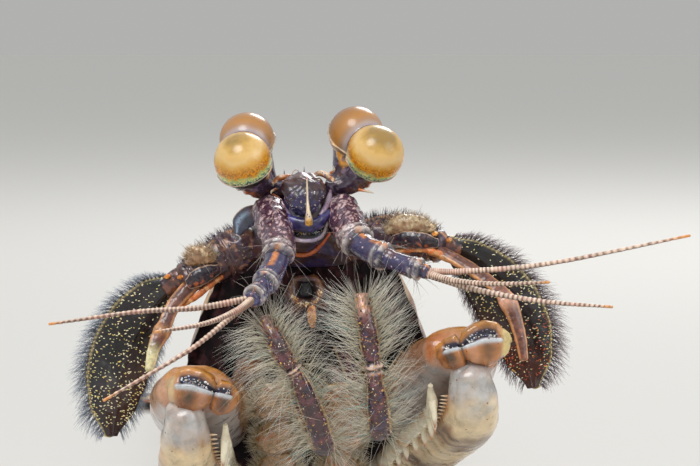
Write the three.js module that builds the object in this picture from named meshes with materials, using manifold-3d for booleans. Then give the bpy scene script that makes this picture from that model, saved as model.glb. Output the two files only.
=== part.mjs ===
// Spearing mantis shrimp, life size, reared up on its walking legs with the tail on the floor.
// Millimetres, +Z up. The head faces -Y and the animal's left side is +X.
import * as THREE from "three";
import Module from "manifold-3d";

const wasm = await Module();
wasm.setup();

// Driving dimensions
const HEAD_Y = -2; // front of the head shield, on the midline
const HEAD_Z = 57; // and its height above the floor
const PITCH = THREE.MathUtils.degToRad(48); // how steeply the forebody is reared
const REARED = 44; // length of the straight reared stretch
const BEND = 40; // length of the bend down to the floor
const SWING_FROM = 100; // distance behind the head at which the tail starts to swing sideways
const SWING_RADIUS = 600; // radius of that swing, to the animal's right
const SHIELD = 50; // length of the head shield
const SOMITE = 21.5; // length of one tail ring
const SIXTH = 17; // length of the last ring
const TELSON = 24; // length of the tail plate
const CORNEA = 11; // width of an eye
const SHELL_GAP = 0.3; // clearance between neighbouring pieces
const TRIM = 0.28; // how far a piece is cut back from one that it would run into
const FEELER = 0.5; // thickness at the tips of the feelers
const MIDDLE = [2.3, 85.2]; // middle of the whole outline, which the origin lies under

const point = (x, y, z) => new THREE.Vector3(x, y, z);
const mix = THREE.MathUtils.lerp;
const LEFT = 1;
const RIGHT = -1;
const SIDES = [
  ["L", LEFT],
  ["R", RIGHT],
];

// The line that the body is threaded on, s millimetres behind the head, with its own sideways and upward
// directions there
function bodyFrame(s) {
  const radius = BEND / PITCH;
  const straight = Math.min(s, REARED);
  const bent = THREE.MathUtils.clamp((s - REARED) / BEND, 0, 1);
  const bendEnd = REARED + BEND;
  const level = THREE.MathUtils.clamp(s - bendEnd, 0, SWING_FROM - bendEnd);
  const pitch = PITCH * (1 - bent);
  const yaw = Math.max(s - SWING_FROM, 0) / SWING_RADIUS;
  const along = straight * Math.cos(PITCH) + radius * (Math.sin(PITCH) - Math.sin(pitch)) + level;
  const down = straight * Math.sin(PITCH) + radius * (Math.cos(pitch) - Math.cos(PITCH));
  return {
    centre: point(
      -SWING_RADIUS * (1 - Math.cos(yaw)),
      HEAD_Y + along + SWING_RADIUS * Math.sin(yaw),
      HEAD_Z - down,
    ),
    across: point(Math.cos(yaw), Math.sin(yaw), 0),
    dorsal: point(0, Math.sin(pitch), Math.cos(pitch)),
  };
}

// A point x to the left and d towards the back, s behind the head
function onBody(s, x, d) {
  const { centre, across, dorsal } = bodyFrame(s);
  return centre.clone().addScaledVector(across, x).addScaledVector(dorsal, d);
}

// A smooth value between evenly spaced ones
function between(values, t) {
  if (!Array.isArray(values)) return values;
  const place = THREE.MathUtils.clamp(t, 0, 1) * (values.length - 1);
  const i = Math.min(Math.floor(place), values.length - 2);
  const part = place - i;
  return mix(values[i], values[i + 1], (THREE.MathUtils.smoothstep(part, 0, 1) + part) / 2);
}

// A closed solid through a row of rings, with a point at each end
function skin(rings, first, last) {
  const count = rings[0].length;
  const corners = [first, ...rings.flat(), last];
  const faces = [];
  const at = (ring, i) => 1 + ring * count + (i % count);
  for (let i = 0; i < count; i++) {
    faces.push(0, at(0, i + 1), at(0, i));
    faces.push(corners.length - 1, at(rings.length - 1, i), at(rings.length - 1, i + 1));
    for (let ring = 0; ring < rings.length - 1; ring++) {
      faces.push(at(ring, i), at(ring, i + 1), at(ring + 1, i));
      faces.push(at(ring, i + 1), at(ring + 1, i + 1), at(ring + 1, i));
    }
  }
  for (const corner of corners) corner.z = Math.max(corner.z, 0);
  const vertProperties = new Float32Array(corners.flatMap((corner) => corner.toArray()));
  const made = (order) => {
    const triVerts = new Uint32Array(order);
    return new wasm.Manifold(new wasm.Mesh({ numProp: 3, vertProperties, triVerts }));
  };
  const body = made(faces);
  return body.volume() > 0 ? body : made(faces.reverse());
}

// A stretch of the trunk: an arched back that ends in flat side lips, and an underside set in between them
const ARCH = 10;
const LIP = 0.92; // inner edge of a lip, as a share of the half width
const KEEL = 0.72; // outer edge of the underside
function trunk({ from, to, steps, half, top, edge, under, grow = 0 }) {
  const rings = [];
  const middle = [];
  for (let k = 0; k <= steps; k++) {
    const t = k / steps;
    const s = mix(from - grow, to + grow, t);
    const wide = between(half, t) + grow;
    const high = between(top, t) + grow;
    const side = between(edge, t);
    const low = between(under, t) - grow;
    const ring = [];
    for (let i = 0; i <= ARCH; i++) {
      const angle = (i / ARCH) * Math.PI;
      const reach = Math.sign(Math.cos(angle)) * Math.abs(Math.cos(angle)) ** 0.8;
      ring.push(onBody(s, wide * reach, mix(side, high, Math.sin(angle) ** 0.8) - (i % ARCH ? 0 : grow)));
    }
    for (const x of [-LIP, -KEEL, KEEL, LIP]) {
      ring.push(onBody(s, wide * x, Math.abs(x) === LIP ? side - grow : low));
    }
    rings.push(ring);
    middle.push(onBody(s, 0, (high + low) / 2));
  }
  return skin(rings, middle[0], middle[steps]);
}

// A limb, feeler or blade: an oval section swept along a curve, whose width and thickness change on the way.
// Its width lies along the facing direction.
const NOSE = 0.5; // how far an end bulges, as a share of its radius
function limb({ path, wide, thick, facing = point(1, 0, 0), sides = 8, steps = 6, grow = 0 }) {
  const curve = new THREE.CatmullRomCurve3(path, false, "catmullrom", 0.5);
  const spots = Array.from({ length: steps + 1 }, (_, k) => curve.getPoint(k / steps));
  const rings = [];
  const heading = (k) => {
    const next = spots[Math.min(k + 1, steps)];
    return next.clone().sub(spots[Math.max(k - 1, 0)]).normalize();
  };
  spots.forEach((spot, k) => {
    const ahead = heading(k);
    const across = facing.clone().addScaledVector(ahead, -facing.dot(ahead)).normalize();
    const over = ahead.clone().cross(across);
    const reach = between(wide, k / steps) + grow;
    const depth = between(thick, k / steps) + grow;
    rings.push(
      Array.from({ length: sides }, (_, i) => {
        const angle = ((i + 0.5) / sides) * 2 * Math.PI;
        return spot
          .clone()
          .addScaledVector(across, reach * Math.cos(angle))
          .addScaledVector(over, depth * Math.sin(angle));
      }),
    );
  });
  const tip = (k, sign) => {
    const radius = Math.min(between(wide, k / steps), between(thick, k / steps));
    return spots[k].clone().addScaledVector(heading(k), sign * (NOSE * radius + grow));
  };
  return skin(rings, tip(0, -1), tip(steps, 1));
}

// Every piece is trimmed clear of the ones placed before it
const shrimp = new THREE.Group();
const groups = {};
const placed = [];
function place(group, name, colour, roughness, make) {
  let body = make(0);
  const box = body.boundingBox();
  for (const other of placed) {
    const apart = [0, 1, 2].some((i) => other.box.min[i] > box.max[i] || other.box.max[i] < box.min[i]);
    if (!apart) body = body.subtract(other.grown);
  }
  body = body.decompose().sort((a, b) => b.volume() - a.volume())[0];
  const grown = make(TRIM);
  placed.push({ grown, box: grown.boundingBox() });
  const { vertProperties, triVerts } = body.getMesh();
  const geometry = new THREE.BufferGeometry();
  geometry.setAttribute("position", new THREE.BufferAttribute(vertProperties, 3));
  geometry.setIndex(new THREE.BufferAttribute(triVerts, 1));
  geometry.computeVertexNormals();
  const look = { color: colour, roughness, metalness: 0, flatShading: true };
  const mesh = new THREE.Mesh(geometry, new THREE.MeshStandardMaterial(look));
  mesh.name = name;
  if (!groups[group]) {
    groups[group] = new THREE.Group();
    shrimp.add(groups[group]);
  }
  groups[group].add(mesh);
}

// Colours of the shell
const HEAD_BROWN = 0x3a2028;
const SHIELD_BROWN = 0x4a3026;
const BAND_CREAM = 0xd8c49a;
const PURPLE = 0x3f3552;
const GOLD = 0xd69a3a;
const CLAW_TAN = 0xc98d4f;
const BLADE_BLACK = 0x15110f;
const LEG_CREAM = 0xc9a987;

// Head shield, which covers the first four chest rings
const SHIELD_FROM = 3;
place("forebody", "carapace", SHIELD_BROWN, 0.4, (grow) =>
  trunk({
    from: SHIELD_FROM,
    to: SHIELD_FROM + SHIELD - 5,
    steps: 8,
    half: [10.2, 13, 15.5, 17.4, 18.8, 19.8, 20.2],
    top: [3.8, 6.2, 7.6, 8.2, 8.4, 8.4, 8.2],
    edge: [-1.6, -2.6, -3.4, -4, -4.4, -4.6, -4.6],
    under: [-6.2, -7.4, -8, -8.2, -8, -7.8, -7.4],
    grow,
  }),
);

// The last four chest rings, free of the shield, on the bend
const CHEST_FROM = SHIELD_FROM + SHIELD - 5 + SHELL_GAP;
const CHEST = 7.4;
const chestStart = (i) => CHEST_FROM + i * (CHEST + SHELL_GAP);
for (let i = 0; i < 4; i++) {
  place("forebody", `thoracic_somite_${5 + i}`, i % 2 ? BAND_CREAM : SHIELD_BROWN, 0.4, (grow) =>
    trunk({
      from: chestStart(i),
      to: chestStart(i) + CHEST,
      steps: 2,
      half: [17.6 + i * 0.5, 18.6 + i * 0.5, 18.4 + i * 0.5],
      top: [7.2, 7.8, 7.7],
      edge: -3.8 - i * 0.4,
      under: [-6.6, -6.4],
      grow,
    }),
  );
}

// Tail rings one to five, whose side flaps reach the floor, and the spined sixth
const TAIL_FROM = chestStart(4);
const tailStart = (i) => TAIL_FROM + i * (SOMITE + SHELL_GAP);
const TAIL_HALF = [20.6, 21.8, 22.8, 23.4, 23.2];
for (let i = 0; i < 5; i++) {
  place("tail", `abdominal_somite_${1 + i}`, i % 2 ? SHIELD_BROWN : BAND_CREAM, 0.4, (grow) =>
    trunk({
      from: tailStart(i),
      to: tailStart(i) + SOMITE,
      steps: 3,
      half: [TAIL_HALF[i] - 1, TAIL_HALF[i], TAIL_HALF[i] + 0.2, TAIL_HALF[i] - 0.1],
      top: [6.9, 7.6, 7.7, 7.6],
      edge: i ? [-8.6, -9, -9, -8.9] : [-6.5, -8, -9, -8.9],
      under: -4.6,
      grow,
    }),
  );
}
const SIXTH_FROM = tailStart(5);
place("tail", "abdominal_somite_6", SHIELD_BROWN, 0.4, (grow) =>
  trunk({
    from: SIXTH_FROM,
    to: SIXTH_FROM + SIXTH,
    steps: 3,
    half: [22, 21.2, 20, 18.6],
    top: [7, 7.2, 7, 6.2],
    edge: [-8.8, -8.9, -7.6, -6.4],
    under: [-5, -5.4],
    grow,
  }),
);

// Tail plate, thin and toothed at its end
const TELSON_FROM = SIXTH_FROM + SIXTH + SHELL_GAP;
place("tail", "telson", SHIELD_BROWN, 0.45, (grow) =>
  trunk({
    from: TELSON_FROM,
    to: TELSON_FROM + TELSON,
    steps: 6,
    half: [15.4, 16.4, 16.8, 16, 14.2, 11.6, 8.6],
    top: [4.6, 3.2, 1.4, -0.6, -2.6, -4.6, -6.4],
    edge: [-5, -5.6, -6.2, -6.8, -7.2, -7.6, -8],
    under: [-7, -7.4, -7.8, -8.1, -8.4, -8.6, -8.6],
    grow,
  }),
);

// Front of the head, between the shield and the eyes: a dark dome, face plates and a median keel
place("forebody", "head_front", HEAD_BROWN, 0.35, (grow) =>
  trunk({
    from: -7.4,
    to: SHIELD_FROM - SHELL_GAP,
    steps: 4,
    half: [1.2, 3, 4.2, 6, 7.6, 8.8],
    top: [-0.6, 0.9, 1.6, 2.2, 2.8, 3.2],
    edge: [-2, -2.4, -2.6, -2.6, -2.4, -2],
    under: [-3.6, -6.6, -7.4, -7.2, -6.8, -6.4],
    grow,
  }).add(
    limb({
      path: [onBody(-6.6, 0, -1.2), onBody(-8.2, 0, -4.4), onBody(-8.2, 0, -8)],
      wide: [0.3, 0.4, 0.65],
      thick: [0.5, 0.7, 0.65],
      steps: 3,
      sides: 6,
      grow,
    }),
  ),
);

// Beak plate over the eye bases
place("forebody", "rostral_plate", HEAD_BROWN, 0.4, (grow) =>
  limb({
    path: [onBody(2.2, 0, 4.4), onBody(-1.4, 0, 4.2), onBody(-4.6, 0, 3.4)],
    wide: [4.4, 4, 2.4, 0.4],
    thick: [0.5, 0.5, 0.45, 0.35],
    sides: 8,
    steps: 4,
    grow,
  }),
);

// Eyes: two gold lobes across a stalk, pitched differently left and right
const LOBE = CORNEA / 2.9;
const LOBE_SHAPE = [0.5, 0.93, 1, 0.95, 1, 1.04, 0.54].map((r) => r * LOBE);
const EYES = {
  L: {
    upper: point(6, -3.6, 69.4),
    lower: point(9.2, -7.4, 66.2),
    root: point(2.4, -4.4, 61.9),
    neck: point(6.5, -4.9, 64),
  },
  R: {
    upper: point(-8.2, -4.2, 68.4),
    lower: point(-8.8, -8.8, 65.4),
    root: point(-3, -4.4, 61.4),
    neck: point(-6.9, -5.4, 62.6),
  },
};
for (const [tag] of SIDES) {
  const { upper, lower, root, neck } = EYES[tag];
  const axis = lower.clone().sub(upper).setLength(LOBE * 0.85);
  place("forebody", `eye_${tag}`, GOLD, 0.15, (grow) =>
    limb({
      path: [upper.clone().sub(axis), upper.clone().lerp(lower, 0.5), lower.clone().add(axis)],
      wide: LOBE_SHAPE,
      thick: LOBE_SHAPE,
      facing: point(0, -1, 0),
      sides: 10,
      steps: 8,
      grow,
    }),
  );
  place("forebody", `eyestalk_${tag}`, PURPLE, 0.35, (grow) =>
    limb({
      path: [root, root.clone().lerp(neck, 0.5), neck],
      wide: [1, 2.2, 3.7],
      thick: [0.9, 1.8, 3],
      steps: 3,
      grow,
    }),
  );
}

// First pair of feelers: three-jointed stems, each with three ringed whips
const STEMS = {
  L: [point(4.6, -7, 59), point(6.7, -14, 55.1), point(10.8, -18, 53.1), point(15.7, -21, 51.7)],
  R: [point(-5.2, -7, 58.8), point(-3.6, -14.5, 54.2), point(-5, -19, 50.4), point(-6.9, -23.5, 48.4)],
};
const WHIPS = {
  L: [
    [point(15.6, -21, 51.8), point(21.2, -22, 51.9), point(32, -22, 53), point(49.4, -22, 56.5)],
    [point(15.6, -21, 51.6), point(19, -24, 50.9), point(24, -29, 51), point(30, -38, 52.2)],
    [point(15.6, -21, 51.4), point(22, -25, 49.8), point(30, -29, 48.8), point(38.2, -34, 48.7)],
  ],
  R: [
    [point(-6.7, -23.4, 48.6), point(-13.6, -24, 47.4), point(-22, -22, 46.6), point(-33.2, -20, 44.8)],
    [point(-6.7, -23.4, 48.5), point(-8.6, -29, 47.6), point(-12, -37, 47), point(-17.4, -45, 47)],
    [point(-6.7, -23.4, 48.3), point(-9, -27, 46.8), point(-14.5, -31, 42.8), point(-24.8, -34, 37)],
  ],
};
for (const [tag] of SIDES) {
  place("feelers", `antennule_stem_${tag}`, PURPLE, 0.35, (grow) =>
    limb({
      path: STEMS[tag],
      wide: [2.2, 2.4, 2.1, 1.75, 1.7, 1.45, 1.3, 1.15],
      thick: [2, 2.3, 2, 1.7, 1.65, 1.4, 1.3, 1.1],
      sides: 8,
      steps: 9,
      grow,
    }),
  );
  place("feelers", `antennule_whips_${tag}`, BAND_CREAM, 0.5, (grow) =>
    WHIPS[tag]
      .map((path) =>
        limb({
          path,
          wide: [0.55, 0.45, 0.36, FEELER / 2],
          thick: [0.55, 0.45, 0.36, FEELER / 2],
          facing: point(0, 0, 1),
          sides: 5,
          steps: 6,
          grow,
        }),
      )
      .reduce((all, whip) => all.add(whip)),
  );
}

// Second pair of feelers: a hairy base, a jointed stick, and a broad fringed blade
const BASES = {
  L: [point(7.6, -1.6, 54), point(12.6, -2.4, 54.6), point(18, -4, 53.4)],
  R: [point(-7.8, -1.6, 53.6), point(-12, -2.6, 51.6), point(-16.6, -4, 49)],
};
const STICKS = {
  L: [
    point(17, -5, 53.2),
    point(21.6, -7.4, 51),
    point(26.3, -9.4, 47.4),
    point(28.2, -11, 43),
    point(28.9, -12, 39.2),
  ],
  R: [
    point(-15.6, -5, 48.4),
    point(-18, -7, 45.8),
    point(-19.2, -8.6, 43),
    point(-20.4, -10, 40.4),
    point(-21, -11, 37.6),
  ],
};
const BLADES = {
  L: [
    point(19, -3.6, 53.6),
    point(22.8, -4, 51),
    point(26, -5, 47.4),
    point(28.4, -6.4, 43.4),
    point(29.8, -8, 39.2),
    point(30.4, -9.6, 35),
  ],
  R: [
    point(-18.2, -3.6, 48.4),
    point(-21.4, -4, 45.7),
    point(-23.9, -5, 41.6),
    point(-25.5, -6.4, 37.3),
    point(-26.2, -8, 32.8),
    point(-26.3, -9.6, 28.4),
  ],
};
for (const [tag, side] of SIDES) {
  place("feelers", `antenna_${tag}`, HEAD_BROWN, 0.45, (grow) => {
    const base = limb({
      path: BASES[tag],
      wide: [3, 3.3, 3, 2.4],
      thick: [2.8, 3, 2.6, 2],
      facing: point(0, 0, 1),
      steps: 4,
      grow,
    });
    const stick = limb({
      path: STICKS[tag],
      wide: [0.9, 0.8, 0.75, 0.9, 0.6, 0.45],
      thick: [0.8, 0.7, 0.7, 0.8, 0.5, 0.4],
      sides: 6,
      steps: 7,
      grow,
    });
    return base.add(stick);
  });
  place("feelers", `antennal_scale_${tag}`, BLADE_BLACK, 0.35, (grow) =>
    limb({
      path: BLADES[tag],
      wide: [1.3, 2.9, 4.1, 4.5, 4.3, 3.3, 0.9],
      thick: [0.7, 0.55, 0.45, 0.4, 0.35, 0.3, 0.25],
      facing: point(0.8, -side * 0.2, side * 0.6),
      steps: 9,
      grow,
    }),
  );
}

// Mouthparts: lip, jaws and their palps
place("forebody", "mouthparts", HEAD_BROWN, 0.4, (grow) =>
  limb({
    path: [onBody(3.8, 0, -7.8), onBody(6.6, 0, -9), onBody(10.6, 0, -9)],
    wide: [1.8, 3.2, 3.2, 1.8],
    thick: [0.8, 1.7, 1.8, 0.9],
    steps: 4,
    grow,
  }),
);

// First jaw-legs: the two hairy fingers held up in front of the mouth
const FINGERS = {
  L: [
    onBody(16, 4.4, -9.2),
    point(8.6, -9, 31),
    point(9.6, -18.5, 30.5),
    point(9.2, -22, 36),
    point(8.2, -23, 43.4),
    point(7.2, -21.6, 48.6),
  ],
  R: [
    onBody(16, -4.4, -9.2),
    point(0.2, -9, 30),
    point(2.4, -18.5, 28.5),
    point(-0.3, -22, 37),
    point(-2.8, -23, 41.2),
    point(-5.3, -21.6, 45.6),
  ],
};
for (const [tag] of SIDES) {
  place("legs", `maxilliped_1_${tag}`, HEAD_BROWN, 0.45, (grow) =>
    limb({
      path: FINGERS[tag],
      wide: [0.9, 1, 1.05, 1.2, 1.45, 1.35, 0.9, 1.15, 1.15, 0.9],
      thick: [0.9, 1, 1.05, 1.2, 1.4, 1.3, 0.9, 1.1, 1.1, 0.8],
      sides: 7,
      steps: 11,
      grow,
    }),
  );
}

// Spearing claws, folded: the thigh points forwards, the wrist caps it, the shaft lies back under it,
// and the toothed finger lies forwards again along the inner face of the shaft
const CLAWS = {
  L: {
    hip: onBody(21, 8, -7.6),
    heel: point(13.6, 19, 25),
    mid: point(17.2, 0, 33.6),
    elbow: point(20.4, -15.4, 40.4),
    wrist: [point(-2.2, -5.4, 0.5), point(1.6, -5.6, 1.7), point(5, -5.4, 1.9)], // from the elbow
  },
  R: {
    hip: onBody(21, -8, -7.6),
    heel: point(-13.4, 19, 23.6),
    mid: point(-15.2, 0, 30),
    elbow: point(-14.6, -15.4, 35.2),
    wrist: [point(4.6, -5.4, -0.2), point(1, -5.6, 1), point(-2.4, -5.4, 1.2)],
  },
};
const TEETH = 9;
const TOOTH = [2.6, 3.8]; // length of the first and of the last tooth
for (const [tag, side] of SIDES) {
  const { hip, heel, mid, elbow } = CLAWS[tag];
  const from = (spot, x, y, z) => spot.clone().add(point(side * x, y, z));
  place("legs", `raptorial_merus_${tag}`, CLAW_TAN, 0.35, (grow) => {
    const thigh = limb({
      path: [heel, mid, elbow],
      wide: [3, 5.2, 6, 6.3, 6.2, 5.2],
      thick: [2.6, 4, 4.5, 4.6, 4.4, 3.6],
      sides: 10,
      steps: 6,
      grow,
    });
    const haunch = limb({
      path: [hip, hip.clone().lerp(heel, 0.5).add(point(0, 0, -1.6)), heel],
      wide: [2.2, 2.3, 2.8],
      thick: [2, 2.2, 2.4],
      sides: 6,
      steps: 3,
      grow,
    });
    return thigh.add(haunch);
  });
  const shaft = [
    from(elbow, 1, -5.4, -4.4),
    from(elbow, 1, -1.6, -8.4),
    from(mid, 0.6, 0, -8.8),
    from(heel, 0.6, -2.4, -7.4),
  ];
  place("legs", `raptorial_propodus_${tag}`, CLAW_TAN, 0.35, (grow) => {
    const wrist = limb({
      path: CLAWS[tag].wrist.map((spot) => elbow.clone().add(spot)),
      wide: [1.6, 2.4, 2.6, 2.9, 2.8, 1.8],
      thick: [1.4, 2.2, 2.4, 2.6, 2.4, 1.5],
      facing: point(0, 0, 1),
      grow,
    });
    const palm = limb({
      path: [from(elbow, 1, -5.6, -1.6), ...shaft.slice(1)],
      wide: [2.6, 3.4, 4, 4.2, 3.8, 2.6],
      thick: [2.4, 3, 3, 2.8, 2.2, 1.4],
      steps: 7,
      grow,
    });
    return wrist.add(palm);
  });
  place("legs", `raptorial_dactyl_${tag}`, BAND_CREAM, 0.3, (grow) => {
    const back = shaft.map((spot) => from(spot, -5.2, 0.4, 0.8)).reverse();
    const curve = new THREE.CatmullRomCurve3(back, false, "catmullrom", 0.5);
    let finger = limb({
      path: back,
      wide: [1.3, 1.1, 1, 0.8, 0.35],
      thick: [1.6, 1.4, 1.2, 0.9, 0.35],
      sides: 6,
      steps: 7,
      grow,
    });
    for (let i = 0; i < TEETH; i++) {
      const root = curve.getPoint(0.12 + (0.8 * i) / TEETH);
      const tip = from(root, 0.4, -0.5, -mix(TOOTH[0], TOOTH[1], i / TEETH));
      const tooth = { path: [root, tip], wide: [0.6, 0.3], thick: [0.6, 0.3], sides: 4, steps: 1 };
      finger = finger.add(limb({ ...tooth, grow }));
    }
    return finger;
  });
}

// Third to fifth jaw-legs: short, each ending in a round hairy palm
for (let i = 0; i < 3; i++) {
  for (const [tag, side] of SIDES) {
    place("legs", `maxilliped_${3 + i}_${tag}`, LEG_CREAM, 0.45, (grow) => {
      const root = onBody(21 + i * 7.4, side * 3.4, -8.8);
      const palm = root.clone().add(point(side * 1.2, i - 9.5, -4.6));
      return limb({
        path: [
          root,
          root.clone().add(point(side * 0.6, -3.4, -4.4)),
          palm,
          palm.clone().add(point(-side * 0.4, -2.6, 3.6)),
        ],
        wide: [1, 1, 1.1, 2.6, 3, 1.6],
        thick: [1, 1, 1.1, 1.5, 1.6, 0.9],
        sides: 7,
        grow,
      });
    });
  }
}

// Walking legs on the last three chest rings: a thin leg with a side branch, standing on flat toes
const FEET = [
  [26, 24],
  [30, 40],
  [29, 56],
];
const TOE = 1.1;
for (let i = 0; i < 3; i++) {
  for (const [tag, side] of SIDES) {
    const hip = onBody(chestStart(1 + i) + CHEST / 2, side * 9, -6.2);
    const foot = point(side * FEET[i][0], FEET[i][1], TOE * 0.45);
    const knee = hip.clone().lerp(foot, 0.5).add(point(side * 1.5, 0, 1.6));
    const fork = hip.clone().lerp(knee, 0.8);
    const branchMiddle = fork.clone().add(point(side * 4, -4.5, -1));
    const branchTip = fork.clone().add(point(side * 7, -9, -3.4));
    place("legs", `walking_leg_${1 + i}_${tag}`, LEG_CREAM, 0.45, (grow) => {
      const leg = limb({
        path: [hip, knee, foot.clone().add(point(-side * 3.4, 0, 0.5)), foot],
        wide: [1.7, 1.5, 1.2, 1, TOE],
        thick: [1.7, 1.5, 1.2, 1, TOE],
        facing: point(0, 1, 0),
        sides: 6,
        grow,
      });
      const branch = limb({
        path: [fork, branchMiddle, branchTip],
        wide: [0.6, 0.55, 0.4],
        thick: [0.6, 0.5, 0.4],
        facing: point(0, 0, 1),
        sides: 4,
        steps: 3,
        grow,
      });
      return leg.add(branch);
    });
  }
}

// Swimming legs under the tail rings, laid back flat
for (let i = 0; i < 5; i++) {
  for (const [tag, side] of SIDES) {
    place("tail", `pleopod_${1 + i}_${tag}`, LEG_CREAM, 0.5, (grow) => {
      const s = tailStart(i) + 4;
      return limb({
        path: [
          onBody(s, side * 9, -6),
          onBody(s + 6, side * 9.6, -6.6),
          onBody(s + 13, side * 10.2, -7.4),
        ],
        wide: [3, 5.4, 6, 4.4],
        thick: [0.8, 0.9, 0.8, 0.5],
        steps: 3,
        grow,
      });
    });
  }
}

// Tail fan: on each side a base with two oval paddles, spread beside the tail plate
const FAN = SIXTH_FROM + SIXTH;
for (const [tag, side] of SIDES) {
  const reach = (s, x, d) => onBody(FAN + s, side * x, d);
  place("tail", `uropod_${tag}`, SHIELD_BROWN, 0.45, (grow) => {
    const base = limb({
      path: [reach(-2, 18.6, -6.2), reach(3, 19.4, -6.2), reach(6.4, 20.6, -6.6)],
      wide: [2.4, 3, 2.6],
      thick: [1.6, 1.8, 1.4],
      steps: 3,
      grow,
    });
    const outer = limb({
      path: [reach(4, 22.4, -6.2), reach(14, 26.6, -6.8), reach(26, 29.8, -7.4)],
      wide: [2, 4.4, 5.2, 4.8, 2],
      thick: [0.9, 0.7, 0.6, 0.5, 0.4],
      steps: 5,
      grow,
    });
    const inner = limb({
      path: [reach(4, 19.8, -6.8), reach(14, 20.6, -7.3), reach(27, 21, -7.7)],
      wide: [1.2, 2.6, 3.2, 2.8, 1.2],
      thick: [0.8, 0.6, 0.5, 0.5, 0.4],
      steps: 5,
      grow,
    });
    return base.add(outer).add(inner);
  });
}

// The origin lies on the floor under the middle of the whole outline
shrimp.position.set(-MIDDLE[0], -MIDDLE[1], 0);

export default shrimp;
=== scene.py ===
import math
import bpy
import numpy as np
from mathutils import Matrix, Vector
from mathutils.bvhtree import BVHTree


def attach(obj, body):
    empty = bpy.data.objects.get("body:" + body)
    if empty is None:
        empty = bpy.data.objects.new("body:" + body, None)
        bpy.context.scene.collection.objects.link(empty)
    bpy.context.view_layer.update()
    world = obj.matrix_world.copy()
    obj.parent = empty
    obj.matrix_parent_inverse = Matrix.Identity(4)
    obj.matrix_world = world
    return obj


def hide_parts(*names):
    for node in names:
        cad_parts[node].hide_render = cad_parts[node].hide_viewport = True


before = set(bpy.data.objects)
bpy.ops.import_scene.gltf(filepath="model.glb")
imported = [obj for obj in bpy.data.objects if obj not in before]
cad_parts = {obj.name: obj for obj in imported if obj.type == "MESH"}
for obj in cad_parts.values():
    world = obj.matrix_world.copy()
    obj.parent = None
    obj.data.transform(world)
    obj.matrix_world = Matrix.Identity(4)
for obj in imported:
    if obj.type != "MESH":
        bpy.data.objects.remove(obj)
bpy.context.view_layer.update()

# Studio: a pale matt floor that runs on to the horizon, a soft round lamp above the camera, one behind
# for the rims of shell and hair, and a camera at the photo's angle, five degrees above level.
MM = 0.001
# Sizes below are millimetres from the plane of the eyes, the head's midline and the floor.
HEAD_TO_ORIGIN = np.array([2.3, 85.2, 0.0])
FLOOR_SIDE = 12.0
FLOOR_PAINT = 0xCFCDC8
AIR = 0xF2F4F6
HORIZON = 0xC4C4C2
AIR_STRENGTH = 0.8
PICTURE_MIDDLE = (5.775, 0.0, 54.9)
CAMERA_AWAY = 330
CAMERA_TILT = math.radians(5)
CAMERA_LENS = 123.43


def in_row(points):
    """Millimetres from the head's own zero, as metres from the part's origin"""
    return (np.asarray(points, float) - HEAD_TO_ORIGIN) * MM


def linear(code):
    """An sRGB hex colour in the linear values that shaders take"""
    parts = [(code >> shift & 255) / 255 for shift in (16, 8, 0)]
    return tuple(p / 12.92 if p <= 0.04045 else ((p + 0.055) / 1.055) ** 2.4 for p in parts) + (1.0,)


def substance(name):
    """An empty node material"""
    made = bpy.data.materials.new(name)
    made.use_nodes = True
    made.node_tree.nodes.clear()
    return made


def add(material, kind, inputs=None, stops=None, **settings):
    """Adds a node with its settings. An input takes a value, or an output to link from"""
    tree = material.node_tree
    made = tree.nodes.new("ShaderNode" + kind)
    for name, value in settings.items():
        setattr(made, name, value)
    for key, value in (inputs or {}).items():
        if isinstance(value, bpy.types.NodeSocket):
            tree.links.new(value, made.inputs[key])
        else:
            made.inputs[key].default_value = value
    if stops:
        bands = made.color_ramp.elements
        for place, colour in stops[1:-1]:
            bands.new(place).color = linear(colour)
        for band, (place, colour) in ((bands[0], stops[0]), (bands[-1], stops[-1])):
            band.position = place
            band.color = linear(colour)
    return made


# Matt emulsion paint on the floor: rolled on, so it shows no gloss and only a faint grain.
emulsion = substance("matt_emulsion")
roller = add(emulsion, "TexNoise", {"Scale": 900.0, "Detail": 3.0}).outputs["Fac"]
grained = add(emulsion, "Bump", {"Height": roller, "Strength": 0.1, "Distance": 0.0002}).outputs["Normal"]
flat_paint = {"Base Color": linear(FLOOR_PAINT), "Roughness": 0.85, "Normal": grained}
painted = add(emulsion, "BsdfPrincipled", flat_paint).outputs[0]
add(emulsion, "OutputMaterial", {"Surface": painted})
bpy.ops.mesh.primitive_plane_add(size=FLOOR_SIDE)
floor = bpy.context.object
floor.name = "studio_floor"
floor.data.materials.append(emulsion)

# Air: even daylight, brighter overhead, and at the horizon the tone that the far floor takes.
air = bpy.data.worlds.new("studio_air")
air.use_nodes = True
air.node_tree.nodes.clear()
way = add(air, "TexCoord").outputs["Generated"]
height = add(air, "SeparateXYZ", {"Vector": way}).outputs["Z"]
sky_stops = [(0.0, HORIZON), (0.12, HORIZON), (0.5, AIR), (1.0, AIR)]
daylight = add(air, "ValToRGB", {"Fac": height}, stops=sky_stops)
glow = add(air, "Background", {"Color": daylight.outputs["Color"], "Strength": AIR_STRENGTH}).outputs[0]
add(air, "OutputWorld", {"Surface": glow})
bpy.context.scene.world = air

LAMPS = {
    # name: place in metres, radius in metres, watts
    "key": ((-0.16, -0.42, 0.50), 0.16, 7.5),
    "fill": ((0.42, -0.30, 0.26), 0.18, 2.2),
    "rim": ((0.15, 0.50, 0.46), 0.14, 6.0),
}
for name, (place, radius, watts) in LAMPS.items():
    lamp = bpy.data.lights.new(name, "POINT")
    lamp.shadow_soft_size = radius
    lamp.energy = watts
    holder = bpy.data.objects.new(name, lamp)
    holder.location = place
    bpy.context.scene.collection.objects.link(holder)

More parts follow.
